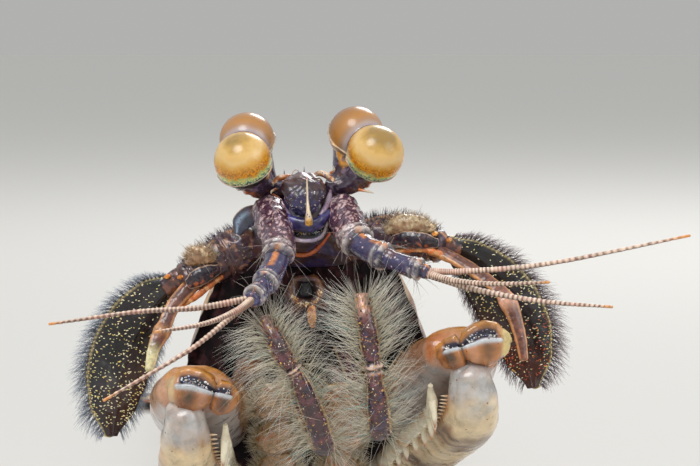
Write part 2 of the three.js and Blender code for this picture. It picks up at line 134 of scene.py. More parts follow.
view = bpy.data.cameras.new("camera")
view.lens = CAMERA_LENS
view.sensor_width = 36
view.clip_start = 0.01
camera = bpy.data.objects.new("camera", view)
back_off = np.array([0, -math.cos(CAMERA_TILT), math.sin(CAMERA_TILT)]) * CAMERA_AWAY
camera.location = in_row(np.array(PICTURE_MIDDLE) + back_off)
camera.rotation_euler = (math.radians(90) - CAMERA_TILT, 0, 0)
bpy.context.scene.collection.objects.link(camera)
bpy.context.scene.camera = camera
bpy.context.scene.view_settings.view_transform = "Standard"

# Head shield: one calcified plate over the head and first chest rings,
# with a rolled rim, two long gastric grooves and a neck groove. Each shell
# piece is a closed skin round the body's line, pushed in and out in code.
HEAD_Y = -2
HEAD_Z = 57
PITCH = math.radians(48)
REARED = 44
BEND = 40
SWING_FROM = 100
SWING_RADIUS = 600
SHIELD_FROM = 3
SHIELD_LONG = 45
LIP = 0.92
KEEL = 0.72
ARCHED = 0.66  # share of a ring's points on the arched back
DARK_BAND = 0x2A1815
WARM_BROWN = 0x6A4128
CREAM_BAND = 0xD2AE78
RIM_ORANGE = 0xB9602A
BELLY = 0x150E13


def body_line(s):
    """Middle, sideways and upward directions of the body, s behind the head"""
    s = np.asarray(s, float)
    radius = BEND / PITCH
    straight = np.minimum(s, REARED)
    level = np.clip(s - REARED - BEND, 0, SWING_FROM - REARED - BEND)
    pitch = PITCH * (1 - np.clip((s - REARED) / BEND, 0, 1))
    yaw = np.maximum(s - SWING_FROM, 0) / SWING_RADIUS
    along = straight * math.cos(PITCH) + radius * (math.sin(PITCH) - np.sin(pitch)) + level
    down = straight * math.sin(PITCH) + radius * (np.cos(pitch) - math.cos(PITCH))
    swing = -SWING_RADIUS * (1 - np.cos(yaw))
    centre = np.stack([swing, HEAD_Y + along + SWING_RADIUS * np.sin(yaw), HEAD_Z - down], -1)
    across = np.stack([np.cos(yaw), np.sin(yaw), 0 * s], -1)
    dorsal = np.stack([0 * s, np.sin(pitch), np.cos(pitch)], -1)
    return centre, across, dorsal


def on_body(s, x, d):
    """A point x to the left and d towards the back, s behind the head"""
    centre, across, dorsal = body_line(s)
    return centre + across * np.asarray(x, float)[..., None] + dorsal * np.asarray(d, float)[..., None]


def between(values, t):
    """Smooth values between evenly spaced ones"""
    values = np.atleast_1d(np.asarray(values, float))
    if len(values) == 1:
        return values[0] + 0 * t
    place = np.clip(t, 0, 1) * (len(values) - 1)
    i = np.minimum(place.astype(int), len(values) - 2)
    part = place - i
    return values[i] + (values[i + 1] - values[i]) * (part * part * (3 - 2 * part) + part) / 2


def hump(x, middle, width):
    """A smooth hump of height one"""
    return np.exp(-(((x - middle) / width) ** 2))


def step(x, low, high):
    """Nought below low, one above high, eased between"""
    t = np.clip((x - low) / (high - low), 0, 1)
    return t * t * (3 - 2 * t)


def lumps(points, size, seed=0):
    """Smooth random heights from -1 to 1, with lumps of that size"""
    cell = np.asarray(points, float) / size + seed * 17.31
    cell = cell + 0.45 * np.sin(1.9 * cell[..., [1, 2, 0]]) + 0.2 * np.sin(4.3 * cell[..., [2, 0, 1]])
    low = np.floor(cell)
    part = cell - low
    part = part * part * (3 - 2 * part)
    total = 0
    for corner in np.ndindex(2, 2, 2):
        mark = (low + corner) @ np.array([127.1, 311.7, 74.7])
        chance = np.modf(np.abs(np.sin(mark) * 43758.5453))[0]
        weight = np.prod(np.where(np.array(corner) == 1, part, 1 - part), -1)
        total = total + weight * chance
    return total * 2 - 1


def mixed(one, other, share):
    """Paint between two colours. Each is a hex number or paint already mixed"""
    one, other = (np.array(linear(c)) if isinstance(c, int) else c for c in (one, other))
    share = np.clip(share, 0, 1)[..., None]
    return one * (1 - share) + other * share


def painted(base, *coats):
    """Paint with more coats over it, each a colour and its share"""
    for colour, share in coats:
        base = mixed(base, colour, share)
    return base


def belly(points):
    """The dark soft underside, clouded with reddish brown"""
    return mixed(BELLY, 0x44282C, step(lumps(points, 1.8, 7) + 0.4 * lumps(points, 0.7, 8), 0, 0.9))


def outward(rings):
    """Directions straight out of a skin of rings"""
    around = np.roll(rings, -1, 1) - np.roll(rings, 1, 1)
    along = np.gradient(rings, axis=0)
    normal = np.cross(around, along)
    normal /= np.linalg.norm(normal, axis=-1, keepdims=True) + 1e-9
    leaving = np.sum(normal * (rings - rings.mean(1, keepdims=True)))
    return normal if leaving > 0 else -normal


def pushed(rings, height):
    """The skin with each point moved outwards by its own height"""
    return rings + outward(rings) * height[..., None]


def back_shell(start, end, half, top, edge, under, rows, around, tuck=0.9, lap=0.6):
    """Closed skin of a body ring, its front tucked under the ring before, its rear lapping over the next"""
    s = np.linspace(start - tuck, end + lap, rows)[:, None]
    q = np.linspace(0, 1, around, endpoint=False)[None, :]
    t = (s - start) / (end - start)
    angle = np.minimum(q / ARCHED, 1) * math.pi
    below = np.clip((q - ARCHED) / (1 - ARCHED), 0, 1)
    turns = [0, 0.06, 0.2, 0.8, 0.94, 1]
    arch_x = np.sign(np.cos(angle)) * np.abs(np.cos(angle)) ** 0.8
    under_x = np.interp(below, turns, [-1, -LIP, -KEEL, KEEL, LIP, 1])
    x = np.where(q < ARCHED, arch_x, under_x) + 0 * s
    up = np.where(q < ARCHED, np.abs(np.sin(angle)) ** 0.8, 0) + 0 * s
    low = np.interp(below, turns, [0, 0, 1, 1, 0, 0])
    side = between(edge, t)
    d = side + (between(top, t) - side) * up + (between(under, t) - side) * low
    rings = on_body(s + 0 * q, between(half, t) * x, d)
    rings[..., 2] = np.maximum(rings[..., 2], 0)
    return rings, t + 0 * q, x, up


def laid_out(name, points, faces, paint, material, nodes=(), marks=None):
    """One mesh object from points in millimetres, none below the floor, and faces by number of corners"""
    points = np.maximum(points, [-999, -999, 0])
    mesh = bpy.data.meshes.new(name)
    mesh.vertices.add(len(points))
    mesh.vertices.foreach_set("co", in_row(points).astype(np.float32).ravel())
    corners = np.concatenate([group.ravel() for group in faces]).astype(np.int32)
    sizes = np.concatenate([np.full(len(group), group.shape[1]) for group in faces])
    mesh.loops.add(len(corners))
    mesh.loops.foreach_set("vertex_index", corners)
    mesh.polygons.add(len(sizes))
    mesh.polygons.foreach_set("loop_start", (np.cumsum(sizes) - sizes).astype(np.int32))
    mesh.update(calc_edges=True)
    mesh.validate()
    mesh.shade_smooth()
    coat = mesh.attributes.new("Paint", "FLOAT_COLOR", "POINT")
    coat.data.foreach_set("color", paint.astype(np.float32).ravel())
    for mark, values in (marks or {}).items():
        mesh.attributes.new(mark, "FLOAT", "POINT").data.foreach_set("value", values.astype(np.float32))
    mesh.materials.append(material)
    made = bpy.data.objects.new(name, mesh)
    bpy.context.scene.collection.objects.link(made)
    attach(made, "root")
    if nodes:
        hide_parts(*nodes)
    return made


DENSE = 6000  # points, above which a skin gives up every second ring or column, whichever lie closer


def thinned(rings, layers):
    """The skin and its layers with no more points than its shape needs"""
    rows, around = rings.shape[:2]
    if rows * around < DENSE:
        return rings, layers
    along, across = (np.linalg.norm(np.diff(rings, axis=way), axis=-1).mean() for way in (0, 1))
    if along < across:
        kept = np.unique(np.append(np.arange(0, rows, 2), rows - 1))
        return rings[kept], [layer[kept] for layer in layers]
    return rings[:, ::2], [layer[:, ::2] for layer in layers]


def walls(rows, around):
    """The quads of a skin of rings"""
    r, a = (g.ravel() for g in np.meshgrid(np.arange(rows - 1), np.arange(around), indexing="ij"))
    b = (a + 1) % around
    return np.stack([r * around + a, r * around + b, (r + 1) * around + b, (r + 1) * around + a], -1)


def model(name, skins, material, nodes=()):
    """One object from closed skins. Each skin is rows of rings with their paint, and any marks"""
    points, paint, fours, threes, marks = [], [], [], [], {}
    start = 0
    for rings, colours, *more in skins:
        named = more[0] if more else {}
        colours = np.broadcast_to(colours, rings.shape[:2] + (4,))
        rings, (colours, *values) = thinned(rings, [colours, *named.values()])
        rows, around = rings.shape[:2]
        count = rows * around
        quads = walls(rows, around)
        a = np.arange(around)
        b = (a + 1) % around
        last = (rows - 1) * around
        front = np.stack([0 * a + count, b, a], -1)
        caps = np.vstack([front, np.stack([0 * a + count + 1, last + a, last + b], -1)])
        spots = np.vstack([rings.reshape(-1, 3), rings[0].mean(0), rings[-1].mean(0)])
        corners = spots[np.vstack([quads[:, [0, 1, 2]], quads[:, [0, 2, 3]], caps])] - spots[0]
        if np.sum(corners[:, 0] * np.cross(corners[:, 1], corners[:, 2])) < 0:
            quads, caps = quads[:, ::-1], caps[:, ::-1]
        flat = colours.reshape(-1, 4)
        paint.append(np.vstack([flat, flat[:around].mean(0), flat[-around:].mean(0)]))
        for mark, grid in zip(named, values):
            marks.setdefault(mark, []).append(np.concatenate([grid.ravel(), grid[[0, -1], 0]]))
        points.append(spots)
        fours.append(quads + start)
        threes.append(caps + start)
        start += len(spots)
    faces = [np.vstack(fours), np.vstack(threes)]
    marks = {mark: np.concatenate(values) for mark, values in marks.items()}
    return laid_out(name, np.vstack(points), faces, np.vstack(paint), material, nodes, marks)


def cuticle(
    name, cloud, mottle, pit, depth, rough, coat=0.3, fleck=None, fleck_size=0.5, fleck_share=0.2,
    glow=0.0, level=0.5,
):
    """Shell with the painted colour, clouded and pitted. Sizes are in millimetres"""
    made = substance(name)
    place = add(made, "TexCoord").outputs["Object"]
    paint = add(made, "Attribute", attribute_name="Paint").outputs["Color"]
    noise = {"Vector": place, "Scale": 1 / (cloud * MM), "Detail": 6.0, "Roughness": 0.62}
    clouds = add(made, "TexNoise", noise).outputs["Fac"]
    spread = {"Value": clouds, "From Min": 0.3, "From Max": 0.7}
    shade = add(made, "MapRange", {**spread, "To Min": 1 - mottle, "To Max": 1 + mottle}).outputs[0]
    shaded = {0: 1.0, 6: paint, 7: shade}
    colour = add(made, "Mix", shaded, data_type="RGBA", blend_type="MULTIPLY").outputs[2]
    if fleck is not None:
        cells = add(made, "TexVoronoi", {"Vector": place, "Scale": 1 / (fleck_size * MM)})
        few = {0: cells.outputs["Color"], 1: fleck_share}
        chosen = add(made, "Math", few, operation="LESS_THAN").outputs[0]
        near = add(made, "Math", {0: cells.outputs["Distance"], 1: 0.34}, operation="LESS_THAN").outputs[0]
        spot = add(made, "Math", {0: chosen, 1: near}, operation="MULTIPLY").outputs[0]
        colour = add(made, "Mix", {0: spot, 6: colour, 7: linear(fleck)}, data_type="RGBA").outputs[2]
    pores = {"Vector": place, "Scale": 1 / (pit * MM), "Smoothness": 0.6}
    pits = add(made, "TexVoronoi", pores, feature="SMOOTH_F1")
    heights = add(made, "Math", {0: pits.outputs["Distance"], 1: clouds}, operation="ADD").outputs[0]
    bump = add(made, "Bump", {"Height": heights, "Strength": 1.0, "Distance": depth * MM}).outputs["Normal"]
    gloss = add(made, "MapRange", {**spread, "To Min": rough[0], "To Max": rough[1]}).outputs[0]
    body = {
        "Base Color": colour, "Roughness": gloss, "Normal": bump, "IOR": 1.55, "Specular IOR Level": level,
    }
    wet = {"Coat Weight": coat, "Coat Roughness": 0.12}
    flesh = {"Subsurface Weight": glow, "Subsurface Scale": 1 * MM}
    surface = add(made, "BsdfPrincipled", {**body, **wet, **flesh}).outputs[0]
    add(made, "OutputMaterial", {"Surface": surface})
    return made


# Calcified cuticle of the back: lime-stiffened shell with pigment clouds 5 mm wide and pores 0.45 mm apart,
# so the eye gets soft broken highlights over a mottled brown.
back_cuticle = cuticle(
    "calcified_cuticle_back", cloud=5.0, mottle=0.3, pit=0.45, depth=0.05, rough=(0.26, 0.5), fleck=0x1A0F0D,
    fleck_size=0.8, fleck_share=0.3,
)
rings, t, x, up = back_shell(
    SHIELD_FROM,
    SHIELD_FROM + SHIELD_LONG,
    [10.2, 13, 15.5, 17.4, 18.8, 19.8, 20.2],
    [3.8, 6.2, 7.6, 8.2, 8.4, 8.4, 8.2],
    [-1.6, -2.6, -3.4, -4, -4.4, -4.6, -4.6],
    [-6.2, -7.4, -8, -8.2, -8, -7.8, -7.4],
    rows=170,
    around=300,
    tuck=0,
    lap=0.5,
)
on_back = step(up, 0.02, 0.1)
groove_at = 0.40 + 0.10 * t
groove = hump(np.abs(x), groove_at, 0.035) * step(t, 0.03, 0.12) * (1 - step(t, 0.7, 0.82))
neck = hump(t + 0.06 * np.cos(x * 3), 0.64, 0.02) * (1 - step(np.abs(x), 0.42, 0.5))
crest = hump(x, 0, 0.025) * step(t, 0.0, 0.1) * (1 - step(t, 0.9, 1.0))
wing = hump(np.abs(x), 0.93, 0.03)
rim = hump(t, 1.0, 0.02) + 0.8 * hump(t, 0.0, 0.02)
height = -0.55 * groove - 0.4 * neck + 0.22 * crest - 0.35 * wing + 0.4 * rim
folds = 0.3 * lumps(rings, 2.4, 5) + 0.14 * lumps(rings, 0.9, 6)
height = (height + 0.10 * lumps(rings, 7, 1)) * on_back + folds * (1 - on_back)
rings = pushed(rings, height)
cloudy = 0.10 * lumps(rings, 6, 2) + 0.05 * lumps(rings, 2.2, 3)
bands = step(np.abs(t + cloudy - 0.10), 0.09, 0.04) + step(np.abs(t + cloudy - 0.50), 0.12, 0.06)
bands = bands + step(np.abs(t + cloudy - 0.93), 0.10, 0.05)
shield_paint = painted(
    CREAM_BAND,
    (WARM_BROWN, step(lumps(rings, 3.5, 4) + 0.5 * np.abs(x), 0.0, 0.9)),
    (DARK_BAND, bands),
)
rim_share = 0.85 * hump(t, 1.0, 0.008) + 0.5 * hump(np.abs(x), 0.99, 0.008)
shield_paint = mixed(shield_paint, RIM_ORANGE, rim_share * on_back)
shield_paint = mixed(belly(rings), shield_paint, on_back)
skin = (rings, shield_paint, {"Back": on_back})
shield = model("head_shield", [skin], back_cuticle, ["carapace"])

# Soft joint skin under the head: cuticle without lime, so it is folded and dull, and stays nearly black
# between the limbs.
joint_skin = cuticle(
    "soft_joint_skin", cloud=1.8, mottle=0.35, pit=0.3, depth=0.04, rough=(0.8, 0.95), coat=0.0, level=0.1
)
shield.data.materials.append(joint_skin)
back = np.zeros(len(shield.data.vertices), np.float32)
shield.data.attributes["Back"].data.foreach_get("value", back)
for face in shield.data.polygons:
    face.material_index = int(back[face.vertices[0]] < 0.5)

# Chest rings five to eight: short overlapping plates of the same shell, free of the shield and curved over
# the bend, each with a rounded rear rim that laps over the ring behind.
SHELL_GAP = 0.3
CHEST_FROM = SHIELD_FROM + SHIELD_LONG + SHELL_GAP
CHEST = 7.4
CHEST_RINGS = 4
CHEST_DARK = 0.5
BAND_EDGE = 0x120B0A


def ring_look(rings, t, x, up, long, seed, dark):
    """Rims, side grooves and cross bands of a body ring. Dark is the share of it in the dark band"""
    on_back = step(up, 0.02, 0.12)
    mm = t * long
    rear = hump(mm, long - 0.35, 0.5) + 0.35 * hump(mm, long - 2.0, 0.5)
    front = 1 - step(mm, 0.1, 1.1)
    groove = hump(np.abs(x), 0.86, 0.018) + 0.5 * hump(np.abs(x), 0.68, 0.015)
    height = 0.34 * rear - 0.62 * front - 0.34 * groove * step(mm, 0.8, 2) + 0.06 * lumps(rings, 5, seed)
    rings = pushed(rings, height * on_back)
    rings[..., 2] = np.maximum(rings[..., 2], 0)
    wander = 0.05 * lumps(rings, 5, seed + 1) + 0.03 * lumps(rings, 1.6, seed + 2)
    band = 1 - step(t + wander, dark - 0.05, dark + 0.03)
    colour = painted(
        CREAM_BAND,
        (WARM_BROWN, 0.75 * step(lumps(rings, 2.5, seed + 3) + 0.4 * np.abs(x), 0.1, 0.9)),
        (DARK_BAND, band),
        (BAND_EDGE, 0.8 * hump(t + wander, dark, 0.02)),
        (DARK_BAND, 0.9 * hump(mm, long - 1.1, 0.35)),
    )
    edge = 0.3 * hump(np.abs(x), 0.985, 0.01) * (0.6 + 0.4 * lumps(rings, 1.2, seed + 4))
    colour = mixed(colour, RIM_ORANGE, 0.85 * step(mm, long - 0.5, long - 0.1) + edge)
    return rings, mixed(belly(rings), colour, on_back)


for i in range(CHEST_RINGS):
    start = CHEST_FROM + i * (CHEST + SHELL_GAP)
    widths = [17.6 + i * 0.5, 18.6 + i * 0.5, 18.4 + i * 0.5]
    edge = -3.8 - i * 0.4
    shell = back_shell(start, start + CHEST, widths, [7.2, 7.8, 7.7], edge, [-6.6, -6.4], rows=46, around=260)
    skin = ring_look(*shell, CHEST, 10 + i * 5, CHEST_DARK)
    model(f"chest_ring_{5 + i}", [skin], back_cuticle, [f"thoracic_somite_{5 + i}"])

# Tail rings one to five: the same shell, broader, with side flaps that hang to the floor as flat lips.
TAIL_FROM = CHEST_FROM + CHEST_RINGS * (CHEST + SHELL_GAP)
SOMITE = 21.5
SOMITE_DARK = 0.46
TAIL_HALF = [20.6, 21.8, 22.8, 23.4, 23.2]
for i, wide in enumerate(TAIL_HALF):
    start = TAIL_FROM + i * (SOMITE + SHELL_GAP)
    flaps = [-8.6, -9, -9, -8.9] if i else [-6.5, -8, -9, -8.9]
    widths = [wide - 1, wide, wide + 0.2, wide - 0.1]
    shell = back_shell(start, start + SOMITE, widths, [6.9, 7.6, 7.7, 7.6], flaps, -4.6, rows=96, around=260)
    skin = ring_look(*shell, SOMITE, 40 + i * 5, SOMITE_DARK)
    model(f"tail_ring_{1 + i}", [skin], back_cuticle, [f"abdominal_somite_{1 + i}"])


# Sixth tail ring: shorter, ridged lengthways, with a row of blunt spines standing back from its rear rim.
def smooth_line(path, t):
    """Points at t along a smooth line through the path"""
    path = np.asarray(path, float)
    full = np.vstack([2 * path[0] - path[1], path, 2 * path[-1] - path[-2]])
    place = np.clip(t, 0, 1) * (len(path) - 1)
    i = np.minimum(place.astype(int), len(path) - 2)
    p = (place - i)[..., None]
    a, b, c, d = full[i], full[i + 1], full[i + 2], full[i + 3]
    leave, arrive = (c - a) / 2, (d - b) / 2
    ends = (2 * p**3 - 3 * p**2 + 1) * b + (3 * p**2 - 2 * p**3) * c
    return ends + (p**3 - 2 * p**2 + p) * leave + (p**3 - p**2) * arrive


def sweep(path, wide, thick, facing=(1, 0, 0), around=24, rows=50, nose=0.5, cap=6):
    """Closed oval skin along a smooth line, with round ends. Its width lies along the facing direction"""
    run = np.linspace(0, 1, rows)
    spots = smooth_line(path, run)
    ahead = np.gradient(spots, axis=0)
    ahead /= np.linalg.norm(ahead, axis=1, keepdims=True)
    turn = np.linspace(0, math.pi / 2, cap + 1)[:-1] + math.pi / 2 / cap / 3
    small = np.concatenate([np.sin(turn), np.ones(rows), np.sin(turn[::-1])])
    t = np.concatenate([0 * turn, run, 0 * turn + 1])
    wide, thick = between(wide, t), between(thick, t)
    shift = np.concatenate([-np.cos(turn), 0 * run, np.cos(turn[::-1])]) * nose * np.minimum(wide, thick)
    pick = np.concatenate([np.zeros(cap, int), np.arange(rows), np.full(cap, rows - 1)])
    ahead, spots = ahead[pick], spots[pick] + ahead[pick] * shift[:, None]
    facing = np.asarray(facing, float)
    across = facing - ahead * (ahead @ facing)[:, None]
    across /= np.linalg.norm(across, axis=1, keepdims=True)
    over = np.cross(ahead, across)
    angle = np.linspace(0, 2 * math.pi, around, endpoint=False)[None, :, None]
    section = across[:, None] * (wide * small)[:, None, None] * np.cos(angle)
    section = section + over[:, None] * (thick * small)[:, None, None] * np.sin(angle)
    return spots[:, None] + section, t[:, None] + 0 * angle[..., 0], angle[..., 0] + 0 * t[:, None]


def spine(root, tip, radius, base=WARM_BROWN, point=RIM_ORANGE):
    """A cone with a round point, painted from root to tip"""
    width = [radius, radius * 0.62, radius * 0.15]
    rings, t, _ = sweep([root, tip], width, width, facing=(0.3, 0.2, 0.9), around=10, rows=12, cap=3)
    return rings, mixed(base, point, t)


SIXTH_FROM = TAIL_FROM + len(TAIL_HALF) * (SOMITE + SHELL_GAP)
SIXTH = 17
rings, t, x, up = back_shell(
    SIXTH_FROM, SIXTH_FROM + SIXTH, [22, 21.2, 20, 18.6], [7, 7.2, 7, 6.2], [-8.8, -8.9, -7.6, -6.4],
    [-5, -5.4], rows=80, around=260, lap=0.2,
)
ridges = sum(hump(np.abs(x), at, wide) for at, wide in ((0.2, 0.02), (0.5, 0.022), (0.75, 0.022)))
rings = pushed(rings, 0.4 * ridges * step(t, 0.15, 0.35) * step(up, 0.1, 0.2))
skins = [ring_look(rings, t, x, up, SIXTH, 70, 0.5)]
for share, high in ((0.2, 5.9), (0.5, 4.3), (0.75, 1.4)):
    for side in (-1, 1):
        root = on_body(SIXTH_FROM + SIXTH - 1.2, side * share * 18.6, high)
        tip = on_body(SIXTH_FROM + SIXTH + 2.2, side * share * 18.9, high - 0.9)
        skins.append(spine(root, tip, 0.8))
model("tail_ring_6", skins, back_cuticle, ["abdominal_somite_6"])

# Tail plate: one broad flat plate, thinning to the rear,
# with a middle crest, fanned ridges and a toothed edge.
TELSON_FROM = SIXTH_FROM + SIXTH + SHELL_GAP
TELSON = 24
TELSON_HALF = [15.4, 16.4, 16.8, 16, 14.2, 11.6, 8.6]
TELSON_EDGE = [-5, -5.6, -6.2, -6.8, -7.2, -7.6, -8]
PLATE_TEETH = 9
TEETH_FROM = 0.32  # share of the plate in front of its first tooth
rings, t, x, up = back_shell(
    TELSON_FROM, TELSON_FROM + TELSON, TELSON_HALF, [4.6, 3.2, 1.4, -0.6, -2.6, -4.6, -6.4], TELSON_EDGE,
    [-7, -7.4, -7.8, -8.1, -8.4, -8.6, -8.6], rows=130, around=300, tuck=0.4, lap=0,
)
on_back = step(up, 0.05, 0.15)
crest = 0.7 * hump(x, 0, 0.035) * (1 - step(t, 0.75, 0.95))
fan = sum(hump(np.abs(x), 0.2 + 0.16 * k + 0.08 * t, 0.02 + 0.008 * t) for k in range(4))
beads = 0.5 + 0.5 * np.cos(t * 95 + np.abs(x) * 20)
height = crest + 0.32 * fan * step(t, 0.12, 0.3) * (0.65 + 0.35 * beads) - 0.3 * hump(np.abs(x), 0.93, 0.02)
rings = pushed(rings, height * on_back + 0.05 * lumps(rings, 3, 80) * on_back)
rings[..., 2] = np.maximum(rings[..., 2], 0)
wander = 0.06 * lumps(rings, 4, 81) + 0.04 * lumps(rings, 1.3, 82)
plate_paint = painted(
    DARK_BAND,
    (WARM_BROWN, step(fan + 1.2 * crest + wander * 4, 0.3, 1.1)),
    (CREAM_BAND, step(np.abs(x) + wander, 0.86, 0.94) + step(t + wander, 0.9, 0.97)),
    (RIM_ORANGE, 0.8 * hump(np.abs(x), 0.99, 0.015)),
)
skins = [(rings, mixed(belly(rings), plate_paint, on_back))]
for i in range(PLATE_TEETH):
    for side in (-1, 1):
        t = TEETH_FROM + (1 - TEETH_FROM) * i / (PLATE_TEETH - 1)
        long = 1.0 if i % 3 else 2.3
        half, low = between(TELSON_HALF, np.array(t)), between(TELSON_EDGE, np.array(t))
        fan_out = 1 - t
        s = TELSON_FROM + t * TELSON
        root = on_body(s - 0.4, side * (half - 0.7), low + 0.2)
        tip = on_body(s + long * (1 - fan_out), side * (half + long * fan_out * 0.6), low)
        skins.append(spine(root, np.maximum(tip, [-99, -99, 0.3]), 0.55))
model("tail_plate", skins, back_cuticle, ["telson"])

# Tail fan: on each side a base with a forked spur and two thin oval paddles. The outer paddle carries a
# comb of movable spines, and both are fringed with feathery hairs that spread the fan when the animal
# flicks its tail.
FAN_FROM = SIXTH_FROM + SIXTH
SIDES = (("L", 1), ("R", -1))
COMB_SPINES = 8
SPURS = ((17.4, 11), (16.0, 7))  # how far from the midline and how long the base's two spurs are
HAIR_MARK = 0.003  # size of one hair's patch on the baked colour map
FRINGE = (0x6B5560, 0xD8CFC4)
RIM_HAIRS = 420
JUST_OVER_FLOOR = [-999, -999, 0.02]


def bristles(name, groups, material, joints=8, sides=3):
    """Tapered hairs as one mesh. A group holds roots, aims, droops, lengths, radii, root and tip paint and
    the place of every root on the unwrapped skin it grows from"""
    roots, aims, droops, longs, radii, starts, tips, patches = (np.concatenate(part) for part in zip(*groups))
    f = np.linspace(0, 1, joints)[None, :, None]
    aims = aims / (np.linalg.norm(aims, axis=1, keepdims=True) + 1e-9)
    line = roots[:, None] + longs[:, None, None] * (aims[:, None] * f + droops[:, None] * f**2)
    head = np.gradient(line, axis=1)
    head /= np.linalg.norm(head, axis=2, keepdims=True) + 1e-9
    side = np.cross(head, [0.31, 0.27, 0.91])
    side /= np.linalg.norm(side, axis=2, keepdims=True) + 1e-9
    over = np.cross(head, side)
    turn = (np.arange(sides) / sides * 2 * math.pi)[:, None]
    radius = (radii[:, None, None] * (1 - 0.85 * f))[..., None]
    rings = line[:, :, None] + radius * (side[:, :, None] * np.cos(turn) + over[:, :, None] * np.sin(turn))
    index = np.arange(len(roots) * joints * sides).reshape(len(roots), joints, sides)
    after = np.roll(index, -1, 2)
    shafts = np.stack([index[:, :-1], after[:, :-1], after[:, 1:], index[:, 1:]], -1).reshape(-1, 4)
    ends = np.vstack([index[:, 0, ::-1], index[:, -1]])
    paint = starts[:, None] * (1 - f) + tips[:, None] * f
    paint = np.repeat(paint[:, :, None], sides, 2).reshape(-1, 4)
    made = laid_out(name, rings.reshape(-1, 3), [shafts, ends], paint, material)
    spot = np.stack(np.broadcast_arrays(np.arange(sides)[None, None] / sides, f), -1) * HAIR_MARK
    spot = (patches[:, None, None] + spot).reshape(-1, 2)
    corners = np.concatenate([shafts.ravel(), ends.ravel()])
    unwrapped = made.data.uv_layers.new(name="OFBake")
    unwrapped.uv.foreach_set("vector", spot[corners].astype(np.float32).ravel())
    return made


def grown(grid, pick, aim, droop, long, radius, colours, seed, tile=(0, 0, 1, 1)):
    """A group of hairs on a skin, from the points picked. Aim is shares of outward and along the skin, and an
    extra way. Droop is a share of along and an extra way. Colours are at the root and the tip"""
    chance = np.random.default_rng(seed)
    rings, t, angle = grid
    rows, columns = pick
    count = len(rows)
    roots = rings[rows, columns]
    out = outward(rings)[rows, columns]
    ahead = np.gradient(rings.mean(1), axis=0)[rows]
    ahead /= np.linalg.norm(ahead, axis=1, keepdims=True) + 1e-9
    aims = aim[0] * out + aim[1] * ahead + aim[2] + chance.normal(0, 0.16, (count, 3))
    bends = droop[0] * ahead + droop[1] + chance.normal(0, 0.06, (count, 3))
    longs = np.broadcast_to(long, count) * chance.uniform(0.65, 1.1, count)
    radii = np.broadcast_to(radius, count) * chance.uniform(0.8, 1.15, count)
    shade = chance.uniform(0.6, 1.15, (count, 1))
    first, last = (np.array(linear(colour))[None] * shade for colour in colours)
    turn = angle[rows, columns] / (2 * math.pi)
    patch = np.stack([tile[0] + turn * tile[2], tile[1] + t[rows, 0] * tile[3]], -1)
    return roots, aims, bends, longs, radii, first, last, patch * (1 - HAIR_MARK)


# Bristle chitin: solid hairs of the same stuff as the shell, thin enough to glint along their length. Real
# ones are 0.02 mm thick. They are drawn two to five times coarser, so that they show.
bristle_chitin = substance("bristle_chitin")
hair_paint = add(bristle_chitin, "Attribute", attribute_name="Paint").outputs["Color"]
glint = {"Base Color": hair_paint, "Roughness": 0.32, "IOR": 1.56, "Coat Weight": 0.3, "Coat Roughness": 0.2}
hair_surface = add(bristle_chitin, "BsdfPrincipled", glint).outputs[0]
add(bristle_chitin, "OutputMaterial", {"Surface": hair_surface})

# Thin flexible cuticle of paddles and legs: shell with little lime, so it is smoother and lets some light in,
# which softens its edges.
limb_cuticle = cuticle(
    "flexible_cuticle_limbs", cloud=1.6, mottle=0.3, pit=0.25, depth=0.02, rough=(0.3, 0.48), fleck=0x4A2A1E,
    fleck_size=0.45, fleck_share=0.22, glow=0.08,
)


def paddle(path, wide, thick, seed):
    """The painted skin of a thin oval paddle with a middle rib, and the grid that hairs grow from"""
    rings, t, angle = sweep(path, wide, thick, around=48, rows=90)
    across = np.cos(angle)
    rib = hump(across, 0.05, 0.1) + 0.4 * hump(np.abs(across), 0.85, 0.05)
    rings = pushed(rings, 0.16 * rib + 0.04 * lumps(rings, 1.2, seed))
    wander = 0.08 * lumps(rings, 2, seed + 1)
    colour = painted(
        WARM_BROWN,
        (DARK_BAND, step(t + wander, 0.45, 0.62)),
        (CREAM_BAND, hump(t + wander, 0.38, 0.07) + step(t, 0.95, 1.0)),
        (RIM_ORANGE, 0.7 * step(np.abs(across), 0.9, 1) * (t < 0.9)),
    )
    return (rings, colour), (rings, t, angle)


def rim_hairs(grid, seed):
    """Soft hairs along both thin edges of a paddle, except near its root"""
    chance = np.random.default_rng(seed)
    rows, around = grid[0].shape[:2]
    picked = chance.integers(int(rows * 0.3), rows, RIM_HAIRS)
    columns = np.where(chance.random(RIM_HAIRS) < 0.5, 0, around // 2)
    return grown(grid, (picked, columns), (0.75, 0.9, 0), (0, [0, 0, 0.03]), 3.0, 0.055, FRINGE, seed)


